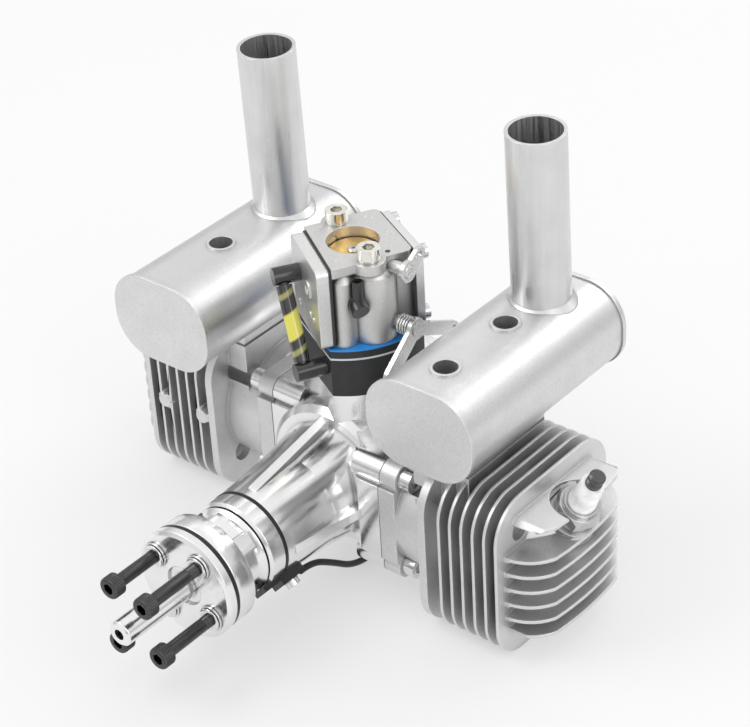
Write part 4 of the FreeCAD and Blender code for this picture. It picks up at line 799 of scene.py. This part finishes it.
def make_column():
    """The wide column under the carburettor's front screw lobe."""
    vertices = []
    faces = []
    steps = 40
    levels = (
        (CASTING_FOOT, 0.0), (84.4, 0.0), (85.4, 0.3), (86.6, 1.3), (87.5, 2.6), (FLANGE_UNDER + 0.3, 4.2),
    )
    for level, less in levels:
        radius = COLUMN_RADIUS - less
        half = math.acos(max(-1.0, (COLUMN_BACK - COLUMN_MIDDLE[0]) / radius))
        for step in range(steps + 1):
            angle = -half + 2 * half * step / steps
            u = COLUMN_MIDDLE[0] + radius * math.cos(angle)
            v = COLUMN_MIDDLE[1] + radius * math.sin(angle)
            vertices.append(intake_point(u, v, level) * MM)
    count = steps + 1
    for level in range(len(levels) - 1):
        for step in range(count):
            here = level * count + step
            there = level * count + (step + 1) % count
            faces.append((here, there, there + count, here + count))
    faces.append(tuple(reversed(range(count))))
    faces.append(tuple(range((len(levels) - 1) * count, len(levels) * count)))
    keep(crisp_mesh("carburettor_column", vertices, faces), "carb_metal", "engine")


CHOKE_MIDDLE = (0, -1.8, 87.2)
SPINDLE_WAY = (1, 0, 0)
SPINDLE_RADIUS = 2.6
SPINDLE_ENDS = (-19.5, 26.1)
SPINDLE_FLAT = 0.2
THROAT_REACH = 9.45
PLATE_RADIUS = 9.3
PLATE_HOLE = (-6.2, -7.4, 87.2)


def make_choke():
    """The choke's spindle, flat under its plate, with the plate, its screw, and a black disc that paints the
    shade of its small hole.
    """
    def flat(angle):
        return SPINDLE_FLAT if angle < math.pi else SPINDLE_RADIUS

    low, high = SPINDLE_ENDS
    spindle_rings = [
        (low, SPINDLE_RADIUS - 0.3), (low + 0.3, SPINDLE_RADIUS), (-THROAT_REACH, SPINDLE_RADIUS),
        (-THROAT_REACH + 0.05, flat), (THROAT_REACH - 0.05, flat), (THROAT_REACH, SPINDLE_RADIUS),
        (high - 0.3, SPINDLE_RADIUS), (high, SPINDLE_RADIUS - 0.3), (high, 1.5), (high - 0.25, 1.3),
        (high - 0.1, 0.2),
    ]
    plate_rings = [
        (-0.4, PLATE_RADIUS - 0.2), (-0.2, PLATE_RADIUS), (0.3, PLATE_RADIUS), (0.5, PLATE_RADIUS - 0.2),
        (0.5, 0.3),
    ]
    screw_rings = [(0.3, 2.1), (0.9, 2.1), (1.3, 1.8), (1.5, 1.2), (1.5, 0.75), (0.9, 0.7), (0.9, 0.1)]
    hole_shade_rings = [(0.3, 0.8), (0.53, 0.8), (0.53, 0.1)]
    spindle = turned_piece("choke_spindle", "lever_steel", "choke",
                           (spindle_rings, CHOKE_MIDDLE, SPINDLE_WAY, 64))
    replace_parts(spindle, "choke_shaft")
    disc = turned_piece("choke_disc", "brass", "choke", (plate_rings, CHOKE_MIDDLE, UPWARD, 72))
    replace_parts(disc, "choke_plate")
    turned_piece("choke_screw", "lever_steel", "choke", (screw_rings, CHOKE_MIDDLE, UPWARD, 40))
    # Painted shade: a black disc stands for the dark inside of the plate's small hole.
    turned_piece("choke_hole_shade", "reed_plastic", "choke", (hole_shade_rings, PLATE_HOLE, UPWARD, 24))


PUMP_BOSS = (5.5, 78)
PUMP_DOTS = ((6.5, 68, 1.5), (10.5, 68, 1.1), (-7.0, 66, 1.1))


def make_pump_relief():
    """A round boss with a recess, and three plain dots under it, cast on the pump cover."""
    outward = pump_point(0, 1, 0) - pump_point(0, 0, 0)
    u, z = PUMP_BOSS
    boss = [
        (-0.3, 3.5), (0.45, 3.5), (0.6, 3.3), (0.6, 2.3), (0.25, 2.0), (0.25, 1.1), (-0.1, 1.0), (-0.1, 0.1),
    ]
    turnings = [(boss, pump_point(u, 0, z), outward, 40)]
    for u, z, radius in PUMP_DOTS:
        dot = [(-0.3, radius), (0.4, radius), (0.5, radius - 0.2), (0.5, 0.1)]
        turnings.append((dot, pump_point(u, 0, z), outward, 28))
    turned_piece("pump_relief", "carb_cover_metal", "engine", *turnings)


TOP_MARKS = ((-12.5, -9.5), (-11.5, 9.5), (2.5, 12.2), (12.6, -11.8))
TOP_HOLE = (14.2, 6.4)


def make_top_marks():
    """Round casting marks on top of the carburettor, and a black disc there that paints the shade of one
    small drilled hole.
    """
    mark = [(-0.2, 1.75), (0.0, 1.75), (0.12, 1.6), (0.12, 1.35), (0.02, 1.25), (0.02, 0.2)]
    hole = [(-0.2, 1.0), (0.03, 1.0), (0.03, 0.2)]
    turned_piece("carburettor_marks", "carb_metal", "engine", *(
        (mark, intake_point(u, v, CASTING_TOP), UPWARD, 32) for u, v in TOP_MARKS
    ))
    # Painted shade: a black disc stands for the dark inside of the drilled hole.
    turned_piece("carburettor_hole_shade", "reed_plastic", "engine",
                 (hole, intake_point(*TOP_HOLE, CASTING_TOP), UPWARD, 24))


# The cylinders and the left spark plug

STAGGER = 9.5
FIN_HALF = 33.25
FIN_CORNER = 15.0
HEAD_FACE = 92.4
FIN_PITCH = 4.97
FIN_THICKNESS = 2.3
FIN_TAPER = 1.2
HEAD_FIN_LOW = -22.0
HEAD_FIN_PITCH = 6.55
HEAD_FIN_START = 94.0
HEAD_TAPER = 0.7
NEAR = 0.08
LUG_PLACES = ((64.1, 2.0), (83.9, 2.0))
LUG_RADIUS = 3.75
LUG_SCALE = 0.74
OUTLINE_NEAR = 0.4
LUG_NEAR = 0.3


def on_fin_outline(across, height):
    """True on the rounded square that bounds the barrel's fins."""
    core = FIN_HALF - FIN_CORNER
    dx = abs(across) - core
    dz = abs(height) - core
    outside = math.hypot(max(dx, 0), max(dz, 0)) + min(max(dx, dz), 0)
    return abs(outside - FIN_CORNER) < OUTLINE_NEAR


def beside(value, stations):
    """True where the value is at one of the stations."""
    return min(abs(value - station) for station in stations) < NEAR


def tapered_cylinder(side, turn):
    """A copy of a cylinder whose fins grow thinner towards their edges, with smaller lugs.

    Every fin keeps one of its faces. The rim of the other face moves towards it.
    """
    source = nodes[side + "_cylinder"]
    piece = bpy.data.objects.new(side + "_finned_cylinder", source.data.copy())
    piece.matrix_world = source.matrix_world.copy()
    bpy.context.scene.collection.objects.link(piece)
    if turn > 0:
        fin_sides = [HEAD_FACE - FIN_PITCH * number - FIN_THICKNESS for number in range(6)]
    else:
        fin_sides = [HEAD_FACE - FIN_PITCH * number for number in range(1, 6)]
    head_fin_lows = [HEAD_FIN_LOW + HEAD_FIN_PITCH * number for number in range(8)]
    inverse = source.matrix_world.inverted()
    for vertex in piece.data.vertices:
        place = source.matrix_world @ vertex.co / MM
        reach = place.x * turn
        across = place.y + STAGGER * turn
        if on_fin_outline(across, place.z) and beside(reach, fin_sides):
            place.x += FIN_TAPER
        if reach > HEAD_FIN_START and beside(place.z, head_fin_lows):
            place.z += HEAD_TAPER
        for lug_x, lug_z in LUG_PLACES:
            away = math.hypot(reach - lug_x, place.z - lug_z)
            if abs(across) > FIN_HALF + NEAR and abs(away - LUG_RADIUS) < LUG_NEAR:
                place.x = (lug_x + (reach - lug_x) * LUG_SCALE) * turn
                place.z = lug_z + (place.z - lug_z) * LUG_SCALE
        vertex.co = inverse @ (place * MM)
    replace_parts(keep(piece, "cylinder_metal", "engine"), side + "_cylinder")


LEFT_STUD_FOOT = (-112.2, 12.9, 37.2)
LEFT_STUD_WAY = (-0.476, 0.201, 0.857)


def make_left_stud():
    """The left plug's short threaded end, which stays behind its muffler in the photograph's view."""
    rings = [
        (-1.5, 2.4), (0.0, 2.4), (0.2, 2.0), (0.8, 2.0), (1.1, 1.75), (1.4, 2.0), (1.7, 1.75), (2.0, 2.0),
        (2.4, 1.6),
    ]
    stud = turned_piece("left_plug_stud", "plug_terminal", "engine",
                        (rings, LEFT_STUD_FOOT, LEFT_STUD_WAY, 32))
    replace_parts(stud, "left_plug_terminal")


# The black rings

NOSE_RING = (17.3, 18.6, 68.3, 69.9)
HUB_RING = (20.3, 21.55, 97.85, 99.65)


def make_rings():
    """The black rings round the crankcase's nose and the hub."""
    keep(ring_mesh("nose_ring", band(*NOSE_RING)), "lead_rubber", "engine")
    keep(ring_mesh("hub_ring", band(*HUB_RING)), "lead_rubber", "crank")


# The floor, the world and the lamps

FLOOR_HALF = 4.0
FLOOR_COLOUR = 0.86
FLOOR_SHADE = 0.37
FLOOR_GLOW = 0.49
STUDIO = ((0.30, 0.45), (0.48, 0.30), (0.56, 0.55), (0.72, 0.95), (1.0, 1.0))
LAMP_TARGET = (0, -0.02, 0.03)
LAMPS = (
    ("key", (-0.55, -0.55, 0.9), 0.7, 0.5, 4.0),
    ("side", (0.95, -0.25, 0.55), 0.5, 0.8, 2.5),
    ("back", (0.1, 0.9, 0.8), 1.0, 0.4, 3.0),
)


def seen_ray(tree):
    """1 for rays from the camera and for those seen in metal or through glass."""
    rays = tree.nodes.new("ShaderNodeLightPath")
    total = rays.outputs["Is Camera Ray"]
    for name in ("Is Glossy Ray", "Is Transmission Ray"):
        step = tree.nodes.new("ShaderNodeMath")
        step.operation = "MAXIMUM"
        tree.links.new(total, step.inputs[0])
        tree.links.new(rays.outputs[name], step.inputs[1])
        total = step.outputs[0]
    return total


def make_floor():
    """A pale floor that lights the engine as paint does, and is seen a little brighter."""
    mesh = bpy.data.meshes.new("floor")
    signs = ((-1, -1), (1, -1), (1, 1), (-1, 1))
    corners = [(x * FLOOR_HALF, y * FLOOR_HALF, FLOOR_Z) for x, y in signs]
    mesh.from_pydata(corners, [], [(0, 1, 2, 3)])
    floor = bpy.data.objects.new("floor", mesh)
    bpy.context.scene.collection.objects.link(floor)
    material = bpy.data.materials.new("pale_floor")
    material.use_nodes = True
    tree = material.node_tree
    shader = tree.nodes["Principled BSDF"]
    shader.inputs["Base Color"].default_value = (*grey(FLOOR_COLOUR), 1)
    shader.inputs["Roughness"].default_value = 0.85
    shader.inputs["Specular IOR Level"].default_value = 0.1
    shadow = tree.nodes.new("ShaderNodeBsdfDiffuse")
    shadow.inputs["Color"].default_value = (*grey(FLOOR_SHADE), 1)
    glow = tree.nodes.new("ShaderNodeEmission")
    glow.inputs["Strength"].default_value = FLOOR_GLOW
    backdrop = tree.nodes.new("ShaderNodeAddShader")
    tree.links.new(shadow.outputs[0], backdrop.inputs[0])
    tree.links.new(glow.outputs[0], backdrop.inputs[1])
    seen = tree.nodes.new("ShaderNodeMixShader")
    tree.links.new(seen_ray(tree), seen.inputs["Fac"])
    tree.links.new(shader.outputs[0], seen.inputs[1])
    tree.links.new(backdrop.outputs[0], seen.inputs[2])
    tree.links.new(seen.outputs[0], tree.nodes["Material Output"].inputs["Surface"])
    mesh.materials.append(material)


def make_world():
    """A pale studio by height: the stops are (place, level) from straight down to straight up."""
    world = bpy.data.worlds.new("studio")
    bpy.context.scene.world = world
    world.use_nodes = True
    tree = world.node_tree
    back = tree.nodes["Background"]
    place = tree.nodes.new("ShaderNodeTexCoord")
    parts = tree.nodes.new("ShaderNodeSeparateXYZ")
    tree.links.new(place.outputs["Generated"], parts.inputs[0])
    levels = tree.nodes.new("ShaderNodeValToRGB")
    while len(levels.color_ramp.elements) < len(STUDIO):
        levels.color_ramp.elements.new(0.5)
    for element, (spot, level) in zip(levels.color_ramp.elements, STUDIO):
        element.position = spot
        element.color = (*grey(level), 1)
    height = tree.nodes.new("ShaderNodeMapRange")
    height.inputs["From Min"].default_value = -1
    height.inputs["From Max"].default_value = 1
    tree.links.new(parts.outputs["Z"], height.inputs["Value"])
    tree.links.new(height.outputs["Result"], levels.inputs["Fac"])
    tree.links.new(levels.outputs["Color"], back.inputs["Color"])
    back.inputs["Strength"].default_value = 1.0


def make_lamps():
    """Soft rectangular lamps that face the engine. Each is (name, place, width, height, watts)."""
    for name, place, width, height, watts in LAMPS:
        data = bpy.data.lights.new(name, "AREA")
        data.shape = "RECTANGLE"
        data.size = width
        data.size_y = height
        data.energy = watts
        light = bpy.data.objects.new(name, data)
        bpy.context.scene.collection.objects.link(light)
        light.location = place
        aim = Vector(LAMP_TARGET) - Vector(place)
        light.rotation_euler = aim.to_track_quat("-Z", "Y").to_euler()


make_camera()
make_lead()
make_floor()
make_world()
make_lamps()
dress_nodes()
make_rings()
make_hub()
make_prop_bolts()
make_washers()
make_column()
make_top_marks()
make_choke()
make_pump_relief()
tapered_cylinder("right", 1)
tapered_cylinder("left", -1)
make_left_stud()
bpy.context.scene.view_settings.view_transform = "Standard"

bpy.context.view_layer.update()
